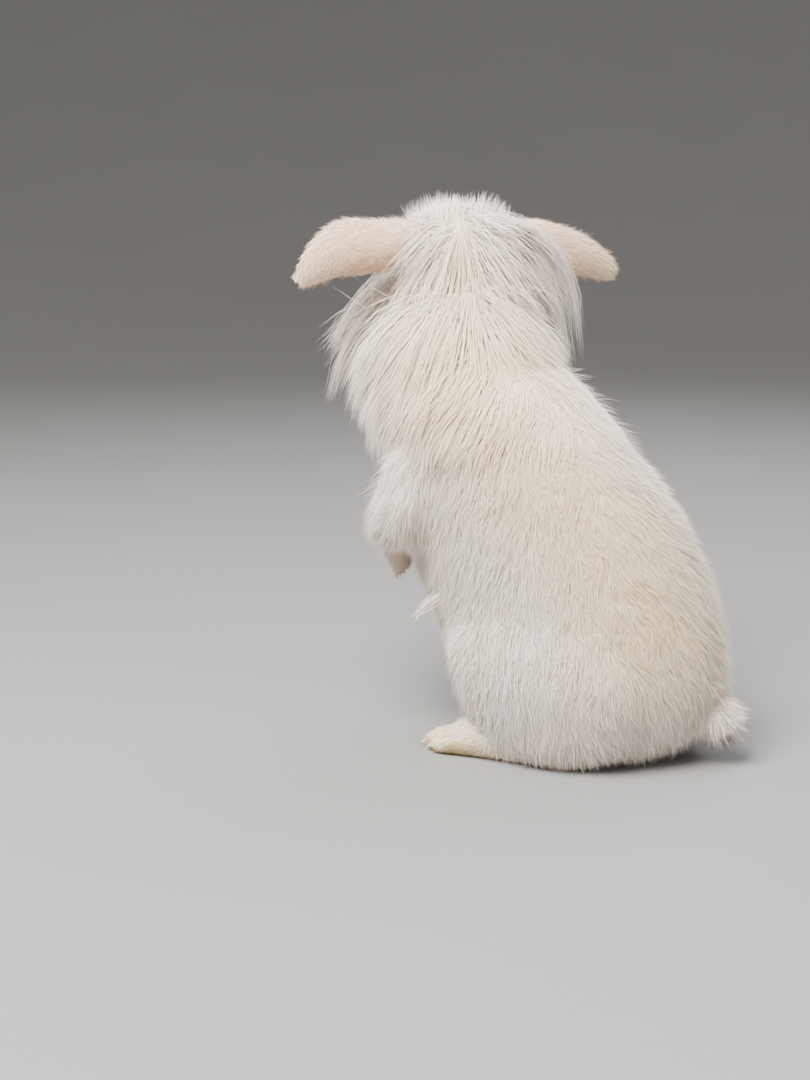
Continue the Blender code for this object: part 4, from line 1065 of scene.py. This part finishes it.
def mane_paths(roots, tree, chance):
    """The paths of the long hair: each starts at its own lift, bends down and rides over what is under."""
    count, steps = len(roots.points), len(MANE_TAPER)
    layer = chance.random(count)
    crown = crown_share(roots.points)
    high = roots.points[:, 2] / MM
    near_right = np.exp(-((turned_from(round_neck(roots.points), CLOSE_AZIMUTH) / CLOSE_REACH) ** 2))
    near_right *= np.clip((240 - high) / 20, 0, 1)
    length = np.interp(high, MANE_HEIGHTS, MANE_LENGTHS) * (1 - (1 - CLOSE_LENGTH) * near_right)
    length = (length * (1 - 0.4 * crown)) * chance.uniform(0.7, 1.2, count) * MM
    loose = np.interp(high, LOOSE_HEIGHTS, LOOSENESS) * (1 - 0.75 * near_right)
    rise = np.radians(8 + 30 * layer * loose)[:, None]
    flow = mane_flow(roots)
    waves = np.array([noise.noise(point) for point in roots.points * MANE_WAVES])
    stray = np.cross(roots.normals, flow) * (chance.normal(0, 0.1, count) + 0.8 * waves)[:, None]
    heading = unit((flow + stray) * np.cos(rise) + roots.normals * np.sin(rise))
    lie = unit(flow * 0.75 + DOWN * 0.75 + stray)
    points, normals = [roots.points - roots.normals * MM], [roots.normals]
    room = 1.4 + 4.8 * layer * loose
    for k in range(steps):
        here = points[-1] + heading * (length / steps)[:, None]
        there, under = clear_of(tree, here, (0.8 + room * (k + 1) / steps) * MM)
        points.append(there)
        normals.append(unit(normals[-1] + under))
        heading = unit(heading + (lie - heading) * 0.5)
    strong, weak = (0.5, 0.9), (0.05, 0.3)
    leading = chance.random(count) < 0.25
    pull = np.where(leading, chance.uniform(*strong, count), chance.uniform(*weak, count))
    later = gathered(points[1:], (0.05, 0.35, 0.9), roots.points, pull, chance, 0.04)
    paths = np.stack([points[0], *later], axis=1)
    longest = np.linalg.norm(np.diff(paths, axis=1), axis=2).max(axis=1)
    whole = longest < 1.5 * length / steps + 2 * MM
    roots = some_of(roots._replace(normals=np.stack(normals, axis=1)), whole)
    return paths[whole], roots, (MANE_WIDE * chance.uniform(0.7, 1.3, count) * MM)[whole]


def crown_paths(roots, chance):
    """The paths of the fluff on the crown: it stands up and a little back, and spreads out at the sides."""
    count = len(roots.points)
    up_and_back = np.array(HEAD_TURNED @ Vector((0, 0.35, 1)))
    heading = unit(roots.normals * 1.2 + up_and_back * 0.5 + chance.normal(0, 0.3, (count, 3)))
    spreading = np.clip(np.abs(in_head_frame(roots.points)[:, 0]) / 20, 0, 1)
    low, high = CROWN_LENGTHS
    length = (low + (high - low) * chance.random(count) ** 1.6) * (1 + 0.6 * spreading) * MM
    drift = laid(np.tile(up_and_back, (count, 1)), heading) * 0.4 + chance.normal(0, 0.2, (count, 3))
    points = [roots.points - roots.normals * MM]
    for _ in CROWN_TAPER:
        points.append(points[-1] + heading * ((length + MM) / len(CROWN_TAPER))[:, None])
        heading = unit(heading + drift * 0.35)
    pull = chance.uniform(0.1, 0.8, count)
    later = gathered(points[1:], (0.0, 0.3, 0.8), roots.points, pull, chance, 0.06)
    return np.stack([points[0], *later], axis=1), roots, CROWN_WIDE * chance.uniform(0.7, 1.3, count) * MM


def guard_paths(roots, tree, chance):
    """The paths of the few long hairs that stand out of the plush and give it a soft outline."""
    count, steps = len(roots.points), len(GUARD_TAPER)
    length = roots.fields[:, LENGTH] * chance.uniform(0.75, 1.25, count) * MM
    rise = np.radians(chance.uniform(24, 48, count))[:, None]
    stray = np.cross(roots.normals, roots.flow) * chance.normal(0, 0.35, count)[:, None]
    heading = unit(unit(roots.flow + stray) * np.cos(rise) + roots.normals * np.sin(rise))
    points = [roots.points - roots.normals * MM]
    for _ in range(steps):
        here = points[-1] + heading * (length / steps)[:, None]
        points.append(clear_of(tree, here, np.full(count, 1.0 * MM))[0])
        heading = unit(heading + roots.flow * 0.28 + DOWN * 0.08)
    return np.stack(points, axis=1), roots, GUARD_WIDE * chance.uniform(0.7, 1.3, count) * MM


def whisker_paths(skin, tree, chance):
    """The paths of whiskers in rows on both sides of the muzzle, arching out and back."""
    turned = np.array(HEAD_TURNED)
    paths, normals = [], []
    starts = [(side, place, k) for side in SIDES for place in WHISKERS for k in range(WHISKERS_IN_ROW)]
    for side, (out, ahead, up), k in starts:
        near, normal, _, _ = tree.find_nearest(in_head(side * out, ahead - WHISKER_APART * k, up) + SHIFT)
        heading = turned @ unit(np.array((side * 1.0, 0.15 + 0.12 * k, 0.1)) + chance.normal(0, 0.08, 3))
        length = chance.uniform(*WHISKER_LENGTHS) * MM
        path = [np.array(near) - np.array(normal) * MM]
        for _ in WHISKER_TAPER:
            path.append(path[-1] + heading * length / len(WHISKER_TAPER))
            heading = unit(heading + turned @ np.array((0, 0.06, -0.09)))
        paths.append(path)
        normals.append(normal)
    paths = np.array(paths)
    return paths, rooted(skin, paths, np.array(normals)), np.full(len(paths), WHISKER_WIDE * MM)


def seen_line(lock):
    """The line of a lock that is given across the view, towards it and up."""
    turn = math.radians(CAMERA_AZIMUTH)
    across = np.array((math.cos(turn), math.sin(turn), 0))
    towards = np.array((math.sin(turn), -math.cos(turn), 0))
    return np.array([(across * a + towards * b - DOWN * c) * MM + np.array(SHIFT) for a, b, c in lock])


def cheek_line(lock, side):
    """The line of a lock that is given in the head's own frame."""
    return stood([in_head(side * out, ahead, up) for out, ahead, up in lock])


def lock_paths(skin, lines, each, wide, chance):
    """The paths of hair along free locks, that wide at the root and drawn together towards the tip."""
    paths = []
    for line in (line for line in lines for _ in range(each)):
        count = len(line)
        offset = chance.normal(0, 1, 3) * MM
        start = np.linspace(wide, wide / 2, count)[:, None]
        wave = chance.normal(0, 0.5, (count, 3)) * MM * np.linspace(0, 1.6, count)[:, None]
        shares = np.linspace(0, (count - 1) * chance.uniform(0.75, 1.08), count)
        curve = np.column_stack([np.interp(shares, range(count), column) for column in line.T])
        beyond = np.maximum(shares - (count - 1), 0)[:, None] * (line[-1] - line[-2])
        paths.append(curve + beyond + offset * start + wave)
    paths = np.array(paths)
    outs = paths[:, 3] - np.array(in_head(0, 25, 0) + SHIFT)
    outs[:, 2] = np.where(paths[:, 3, 2] < NECK_FROM_Z * MM, 0, outs[:, 2])
    roots = white_roots(rooted(skin, paths, unit(outs)))
    return paths, roots, MANE_WIDE * chance.uniform(0.6, 1.2, len(paths)) * MM


def tuft_faces(steps):
    """The faces of a closed three-sided tuft of that many points along, as corners of its own."""
    tops = 3 * (steps - 2)
    faces = [(0, 1, 2)]
    turns = ((0, 1), (1, 2), (2, 0))
    for k in range(0, tops, 3):
        faces += [(k + here, k + 3 + here, k + 3 + there, k + there) for here, there in turns]
    return faces + [(tops + here, tops + 3, tops + there) for here, there in turns]


def build_tufts(name, paths, roots, wide, chance, taper, soft, flat):
    """A mesh with a tuft along each path, as wide at each ring as its taper says. soft is how far its
    normals lean towards the skin's, and flat is how thick it is next to its width."""
    count, steps = paths.shape[:2]
    outs = roots.normals if roots.normals.ndim == 3 else np.repeat(roots.normals[:, None], steps, axis=1)
    runs = unit(np.gradient(paths, axis=1))
    sides = unit(np.cross(runs, outs))
    ups = np.cross(sides, runs)
    half = wide[:, None, None] * np.array(taper)[None, :, None] / 2
    rings, left, ridge = paths[:, :-1], sides[:, :-1], ups[:, :-1]
    each = 3 * (steps - 1) + 1
    points, leaning = np.empty((count, each, 3), np.float32), np.empty((count, each, 3))
    points[:, 0:-1:3], points[:, 2:-1:3] = rings + left * half, rings - left * half
    points[:, 1:-1:3], points[:, -1] = rings + ridge * half * 2 * flat, paths[:, -1]
    points[:, :, 2] = np.maximum(points[:, :, 2], FLOOR_LEAST * MM)
    leaning[:, 0:-1:3], leaning[:, 1:-1:3], leaning[:, 2:-1:3] = left, ridge, -left
    leaning[:, -1] = ups[:, -1]
    upright = np.abs(np.einsum("ij,ij->i", unit(paths[:, -1] - paths[:, 0]), outs[:, 0]))[:, None, None]
    soft = soft * (1 - 0.5 * upright)
    outs = np.concatenate((np.repeat(outs[:, :-1], 3, axis=1), outs[:, -1:]), axis=1)
    leaning = unit(leaning * (1 - soft) + outs * soft)
    faces = tuft_faces(steps)
    pattern = np.array([corner for face in faces for corner in face], np.int32)
    totals = np.tile(np.array([len(face) for face in faces], np.int32), count)
    corners = (np.arange(count, dtype=np.int32)[:, None] * each + pattern[None, :]).ravel()
    mesh = bpy.data.meshes.new(name)
    mesh.vertices.add(count * each)
    mesh.vertices.foreach_set("co", points.ravel())
    mesh.loops.add(len(corners))
    mesh.loops.foreach_set("vertex_index", corners)
    mesh.polygons.add(len(totals))
    mesh.polygons.foreach_set("loop_start", np.concatenate(([0], np.cumsum(totals)[:-1])).astype(np.int32))
    mesh.polygons.foreach_set("loop_total", totals)
    mesh.polygons.foreach_set("use_smooth", np.ones(len(totals), bool))
    mesh.update(calc_edges=True)
    along, across = np.ones(each), np.zeros(each)
    along[:-1] = np.repeat(np.arange(steps - 1) / (steps - 1), 3)
    across[0:-1:3], across[2:-1:3] = -0.5, 0.5
    patch = roots.uvs[:, None, :] + np.stack((across, along - 0.5), axis=1)[None] * TUFT_PATCH
    uvs = np.clip(patch, 0, 1).reshape(-1, 2)[corners].astype(np.float32)
    mesh.uv_layers.new(name="OFBake").data.foreach_set("uv", uvs.ravel())
    add_marks(mesh, {"tip": np.tile(along, count), "tuft": np.repeat(chance.random(count), each)})
    add_marks(mesh, {label: np.repeat(values, each) for label, values in zip(MARKS, roots.marks.T)})
    mesh.normals_split_custom_set_from_vertices(leaning.reshape(-1, 3))
    return mesh


def coat_pieces(name, paths, roots, wide, chance, taper, finish, slot, soft=0.88, flat=0.4):
    """As many pieces as keep each within its count of triangles, from the lowest roots to the highest."""
    each = 6 * (len(taper) - 1) + 4
    order = np.argsort(roots.points[:, 2])
    parts = np.array_split(order, math.ceil(len(order) * each / MOST_TRIANGLES))
    for number, part in enumerate(parts, 1):
        title, some = f"{name}_{number}", some_of(roots, part)
        mesh = build_tufts(title, paths[part], some, wide[part], chance, taper, soft, flat)
        make_piece(put(title, mesh), finish, slot)


class Value:
    """A socket of a material, so that sums of numbers read as sums."""

    def __init__(self, tree, socket):
        self.tree, self.socket = tree, socket

    def math(self, operation, *inputs):
        return node(self.tree, "ShaderNodeMath", {"operation": operation}, *inputs)

    def __add__(self, other):
        return self.math("ADD", self, other)

    def __sub__(self, other):
        return self.math("SUBTRACT", self, other)

    def __rsub__(self, other):
        return self.math("SUBTRACT", other, self)

    def __mul__(self, other):
        return self.math("MULTIPLY", self, other)

    def __pow__(self, other):
        return self.math("POWER", self, other)

    __radd__, __rmul__ = __add__, __mul__


def fill(tree, socket, value):
    """Links a value to the socket, or sets it there: a colour, a direction or a number."""
    if isinstance(value, Value):
        tree.links.new(value.socket, socket)
    elif value is not None:
        socket.default_value = value


def node(tree, kind, settings=None, *inputs, output=0, **named):
    """A new node with its settings, and inputs in order or by name. Gives one of its outputs."""
    made = tree.nodes.new(kind)
    for key, value in (settings or {}).items():
        setattr(made, key, value)
    for key, value in [*enumerate(inputs), *named.items()]:
        fill(tree, made.inputs[key], value)
    return Value(tree, made.outputs[output])


def ramp(value, low, high, start, end):
    """The value's way from low to high, as a way from start to end."""
    return node(value.tree, "ShaderNodeMapRange", None, value, low, high, start, end)


def mixed(tree, share, first, second):
    """A colour between two, by a share from 0 to 1."""
    made = tree.nodes.new("ShaderNodeMix")
    made.data_type = "RGBA"
    fill(tree, made.inputs[0], share)
    for socket, colour in ((made.inputs[6], first), (made.inputs[7], second)):
        fill(tree, socket, colour if isinstance(colour, Value) else (*colour, 1.0))
    return Value(tree, made.outputs[2])


def new_finish(name, **fixed):
    """A material with those sockets of its shader set, its node tree, and its shader."""
    finish = bpy.data.materials.new(name)
    finish.use_nodes = True
    shader = finish.node_tree.nodes["Principled BSDF"]
    for key, value in fixed.items():
        shader.inputs[key.replace("_", " ")].default_value = value
    return finish, finish.node_tree, shader


def attribute(tree, name):
    return node(tree, "ShaderNodeAttribute", {"attribute_name": name}, output=2)


def object_place(tree):
    return node(tree, "ShaderNodeTexCoord", output=3)


def object_noise(tree, scale, detail=2.0):
    return node(tree, "ShaderNodeTexNoise", None, object_place(tree), Scale=scale, Detail=detail)


# The second colour gives the creamy patches and also the painted shade in the crease under the nape and down
# the parting.
WHITE, CREAM_AND_SHADE, COOL = (0.98, 0.865, 0.755), (0.96, 0.74, 0.46), (0.955, 0.90, 0.86)
PEACH, PINK = (0.965, 0.58, 0.33), (0.88, 0.55, 0.50)
FOOT, FOOT_LOW = (0.86, 0.66, 0.31), (0.82, 0.60, 0.25)
# The first tint is painted shade that darkens each tuft towards its root; the second is a tone that some
# tufts have.
ROOT_SHADE_TINT, DULL_TINT = (0.93, 0.88, 0.80), (0.95, 0.92, 0.87)
UNDERCOAT = (0.93, 0.76, 0.62)
CLAW, CLAW_PALE = (0.80, 0.68, 0.56), (0.90, 0.81, 0.70)
IRIS, IRIS_PALE = (0.035, 0.05, 0.085), (0.13, 0.18, 0.25)
IRIS_RIM, PUPIL = (0.03, 0.03, 0.035), (0.004, 0.004, 0.005)
FLOOR, FLOOR_PALE = (0.255, 0.25, 0.245), (0.27, 0.265, 0.26)


def tinted(colour, tint):
    return tuple(c * k for c, k in zip(colour, tint))


def coat_colours(tree, base, low=None):
    """The markings of skin and coat alike: creamy patches, painted shade in the crease under the nape and
    down the parting, patches of cool white, peach and bare pink.
    """
    cool = ramp(object_noise(tree, 26.0, 3.0), 0.42, 0.7, 0.0, 0.55)
    colour = mixed(tree, cool, base, COOL)
    # Creamy patches, with the painted shade of the nape's crease and parting in the same mark.
    cream_and_shade_share = attribute(tree, "cream_and_shade") * (object_noise(tree, 120.0) * 1.1 + 0.4)
    colour = mixed(tree, ramp(cream_and_shade_share, 0.0, 1.0, 0.0, 0.9), colour, CREAM_AND_SHADE)
    colour = mixed(tree, attribute(tree, "peach") * 0.9, colour, PEACH)
    colour = mixed(tree, attribute(tree, "pink") * 0.8, colour, PINK)
    if low is not None:
        height = node(tree, "ShaderNodeSeparateXYZ", None, object_place(tree), output=2)
        colour = mixed(tree, ramp(height, 0.011, 0.002, 0.0, 0.8), colour, low)
    return colour


def coat_finish(name, base, low=None):
    """The coat's own material: painted shade darkening each tuft towards its root, and a few tufts duller
    than the others.
    """
    finish, tree, shader = new_finish(name, Specular_IOR_Level=0.25, Sheen_Weight=0.2, Sheen_Roughness=0.5)
    colour = coat_colours(tree, base, low)
    # Painted shade: each tuft darker towards its root, where the coat over it would shade it.
    root_shade = (1 - attribute(tree, "tip") ** 0.6) * 0.3
    colour = mixed(tree, root_shade, colour, tinted(base, ROOT_SHADE_TINT))
    tuft = attribute(tree, "tuft")
    colour = mixed(tree, tuft**4 * 0.3, colour, tinted(base, DULL_TINT))
    fill(tree, shader.inputs["Base Color"], colour)
    fill(tree, shader.inputs["Roughness"], tuft * 0.2 + 0.5)
    return finish


def skin_finish():
    finish, tree, shader = new_finish("skin", Roughness=0.75, Specular_IOR_Level=0.2)
    fill(tree, shader.inputs["Base Color"], mixed(tree, 0.25, coat_colours(tree, WHITE), UNDERCOAT))
    hair = object_noise(tree, 900.0, 3.0)
    bump = node(tree, "ShaderNodeBump", None, Strength=0.5, Distance=0.0004, Height=hair)
    fill(tree, shader.inputs["Normal"], bump)
    return finish


def claw_finish():
    finish, tree, shader = new_finish("claw", Roughness=0.35, Specular_IOR_Level=0.5)
    fill(tree, shader.inputs["Base Color"], mixed(tree, object_noise(tree, 300.0), CLAW, CLAW_PALE))
    return finish


def eye_finish(name, side):
    """A dark pupil in a blue-grey iris, worked out from the angle to the way the eye looks."""
    finish, tree, shader = new_finish(name, Roughness=0.04, Specular_IOR_Level=0.6, Coat_Weight=1.0)
    middle, look = tuple(eye_middle(side)), tuple(eye_look(side))
    off = node(tree, "ShaderNodeVectorMath", {"operation": "SUBTRACT"}, object_place(tree), middle)
    way = node(tree, "ShaderNodeVectorMath", {"operation": "NORMALIZE"}, off)
    facing = node(tree, "ShaderNodeVectorMath", {"operation": "DOT_PRODUCT"}, way, look, output=1)
    streaks = node(tree, "ShaderNodeTexNoise", None, way, Scale=14.0, Detail=4.0)
    iris = mixed(tree, streaks, IRIS, IRIS_PALE)
    colour = mixed(tree, ramp(facing, 0.72, 0.80, 0.0, 1.0), IRIS_RIM, iris)
    colour = mixed(tree, ramp(facing, 0.875, 0.905, 0.0, 1.0), colour, PUPIL)
    fill(tree, shader.inputs["Base Color"], colour)
    return finish


def build_eye(side):
    """The eyeball, a little fuller where it looks."""
    made = bmesh.new()
    bmesh.ops.create_uvsphere(made, u_segments=64, v_segments=40, radius=EYE_RADIUS * MM)
    look = eye_look(side)
    for vert in made.verts:
        facing = max(vert.co.normalized().dot(look) - CORNEA_FROM, 0) / (1 - CORNEA_FROM)
        vert.co *= 1 + CORNEA_RISE * facing * facing
    bmesh.ops.translate(made, vec=eye_middle(side), verts=made.verts)
    name = f"eye_{SIDES[side]}"
    ball_piece = put(f"{name}_ball", mesh_of(f"{name}_ball", made))
    make_piece(ball_piece, eye_finish(f"{name}_finish", side), "eye", name)


PAIRED_NODES = ("ear", "thigh", "hind_foot", "foreleg", "forepaw")
FLESH_NODES = ["torso", "neck", "head", "tail"]
FLESH_NODES += [f"{part}_{side}" for part in PAIRED_NODES for side in SIDES.values()]


def build_short_coat(skin, tree, mane, white, chance):
    """The short tufts of every region, fewer where the mane hides them."""
    foot, ear = coat_finish("foot_coat", FOOT, FOOT_LOW), coat_finish("ear_coat", WHITE)
    roots = scatter(skin, skin.fields[:, MANY] * (1 - 0.6 * mane), chance)
    paths, roots, wide = short_paths(roots, tree, chance)
    strongest = roots.shares.argmax(axis=1)
    for name, regions, finish, slot, soft in (
        ("coat_body", ("body", "thigh", "tail"), white, "white_coat", 0.88),
        ("coat_neck", ("neck",), white, "white_coat", 0.88),
        ("coat_head", ("head",), white, "white_coat", 0.88),
        ("coat_legs", ("foreleg", "paw"), white, "white_coat", 0.88),
        ("coat_feet", ("foot",), foot, "foot_coat", 0.88),
        ("coat_ears", ("ear",), ear, "ear_coat", 0.5),
    ):
        mine = np.isin(strongest, [REGIONS.index(region) for region in regions])
        chosen = some_of(roots, mine)
        coat_pieces(name, paths[mine], chosen, wide[mine], chance, SHORT_TAPER, finish, slot, soft=soft)


def build_long_coat(skin, tree, mane, white, chance):
    """The mane, the fluff on the crown, the guard hairs, the whiskers and the free locks."""

    def grow(name, hair, taper, **how):
        coat_pieces(name, *hair, chance, taper, white, "white_coat", **how)

    crown = crown_share(skin.points) * share_of(skin.shares, "head")
    roots = scatter(skin, mane * MANE_MANY * (1 - 0.7 * crown), chance)
    grow("mane", mane_paths(white_roots(roots), tree, chance), MANE_TAPER)
    roots = scatter(skin, crown * CROWN_MANY, chance)
    grow("crown_fluff", crown_paths(roots, chance), CROWN_TAPER, soft=0.9)
    roots = scatter(skin, (skin.fields[:, LENGTH] > GUARD_FROM_LENGTH) * GUARD_MANY, chance)
    grow("guard_hair", guard_paths(roots, tree, chance), GUARD_TAPER, soft=0.3)
    grow("whiskers", whisker_paths(skin, tree, chance), WHISKER_TAPER, soft=0.0, flat=0.85)
    falling = [seen_line(lock) for lock in LONG_LOCKS]
    cheeks = [cheek_line(lock, side) for lock in CHEEK_LOCKS for side in SIDES]
    for name, lines, each, wide, soft in (
        ("belly_wisp", [seen_line(BELLY_WISP)], 60, 1.8, 0.4),
        ("mane_locks", falling, 170, 3.2, 0.4),
        ("cheek_locks", cheeks, 190, 4.2, 0.5),
    ):
        grow(name, lock_paths(skin, lines, each, wide, chance), LONG_TAPER, soft=soft)


def build_rabbit():
    chance = np.random.default_rng(5)
    forms, claws = all_forms()
    skin = build_skin(forms)
    flesh = put("skin", skin.mesh)
    unwrap(flesh)
    make_piece(flesh, skin_finish(), "white_coat", *FLESH_NODES)
    for side in SIDES:
        build_eye(side)
    nails = claw_finish()
    for name, parts in claws:
        make_piece(put(name, mesh_of(name, joined(parts)[0])), nails, "foot_coat")
    faces = [tuple(face.vertices) for face in skin.mesh.polygons]
    tree = BVHTree.FromPolygons([Vector(point) for point in skin.points], faces)
    white = coat_finish("white_coat", WHITE)
    mane = mane_share(skin.points, skin.normals, skin.shares)
    skin.fields[:, TALL] *= 1 - 0.5 * mane
    build_short_coat(skin, tree, mane, white, chance)
    build_long_coat(skin, tree, mane, white, chance)


def build_floor():
    """A pale floor that rises into the backdrop all round, far off and without an edge."""
    made = bmesh.new()
    profile = [made.verts.new((FLOOR_REACH * k / 8, 0, 0)) for k in range(9)]
    for angle in (math.radians(5 * k) for k in range(1, 19)):
        rise = FLOOR_BEND * (1 - math.cos(angle))
        profile.append(made.verts.new((FLOOR_REACH + FLOOR_BEND * math.sin(angle), 0, rise)))
    profile.append(made.verts.new((FLOOR_REACH + FLOOR_BEND, 0, FLOOR_BEND + FLOOR_WALL)))
    edges = [made.edges.new(pair) for pair in zip(profile[:-1], profile[1:])]
    bmesh.ops.spin(made, geom=profile + edges, cent=(0, 0, 0), axis=(0, 0, 1), angle=2 * math.pi, steps=72)
    bmesh.ops.remove_doubles(made, verts=made.verts, dist=1e-5)
    bmesh.ops.recalc_face_normals(made, faces=made.faces)
    bmesh.ops.reverse_faces(made, faces=made.faces)
    mesh = mesh_of("floor", made)
    finish, tree, shader = new_finish("floor", Roughness=0.9, Specular_IOR_Level=0.1)
    fill(tree, shader.inputs["Base Color"], mixed(tree, object_noise(tree, 3.0), FLOOR, FLOOR_PALE))
    mesh.materials.append(finish)
    put("floor", mesh)


def view_directions(azimuth, elevation):
    """From the object towards a place round it, and what is to the right from there."""
    turn, rise = math.radians(azimuth), math.radians(elevation)
    back = Vector((math.sin(turn) * math.cos(rise), -math.cos(turn) * math.cos(rise), math.sin(rise)))
    return back, Vector((math.cos(turn), math.sin(turn), 0))


def aimed(name, data, target, back, distance):
    """A camera or a lamp that far off, looking at the target."""
    thing = put(name, data)
    thing.location = target + back * distance
    thing.rotation_mode = "QUATERNION"
    thing.rotation_quaternion = (-back).to_track_quat("-Z", "Y")
    return thing


def build_lights():
    """A large soft key from the upper left of the camera, a fill from its right, and an even pale room."""
    for name, turn, elevation, distance, size, power, colour in LIGHTS:
        lamp = bpy.data.lights.new(name, "AREA")
        lamp.size, lamp.energy, lamp.color = size, power, colour
        aimed(name, lamp, LIGHT_AIM, view_directions(CAMERA_AZIMUTH + turn, elevation)[0], distance)
    world = bpy.data.worlds.new("room")
    world.use_nodes = True
    room = world.node_tree.nodes["Background"]
    room.inputs["Color"].default_value = ROOM_COLOUR
    room.inputs["Strength"].default_value = ROOM_STRENGTH
    bpy.context.scene.world = world


def build_camera():
    back, right = view_directions(CAMERA_AZIMUTH, CAMERA_ELEVATION)
    target = right * CAMERA_AIM_ACROSS + Vector((0, 0, CAMERA_AIM_HEIGHT)) + SHIFT
    lens = bpy.data.cameras.new("camera")
    lens.lens, lens.sensor_width = CAMERA_LENS, 36
    lens.clip_start, lens.clip_end = 0.01, 50
    bpy.context.scene.camera = aimed("camera", lens, target, back, CAMERA_DISTANCE)


build_camera()
build_lights()
build_floor()
build_rabbit()
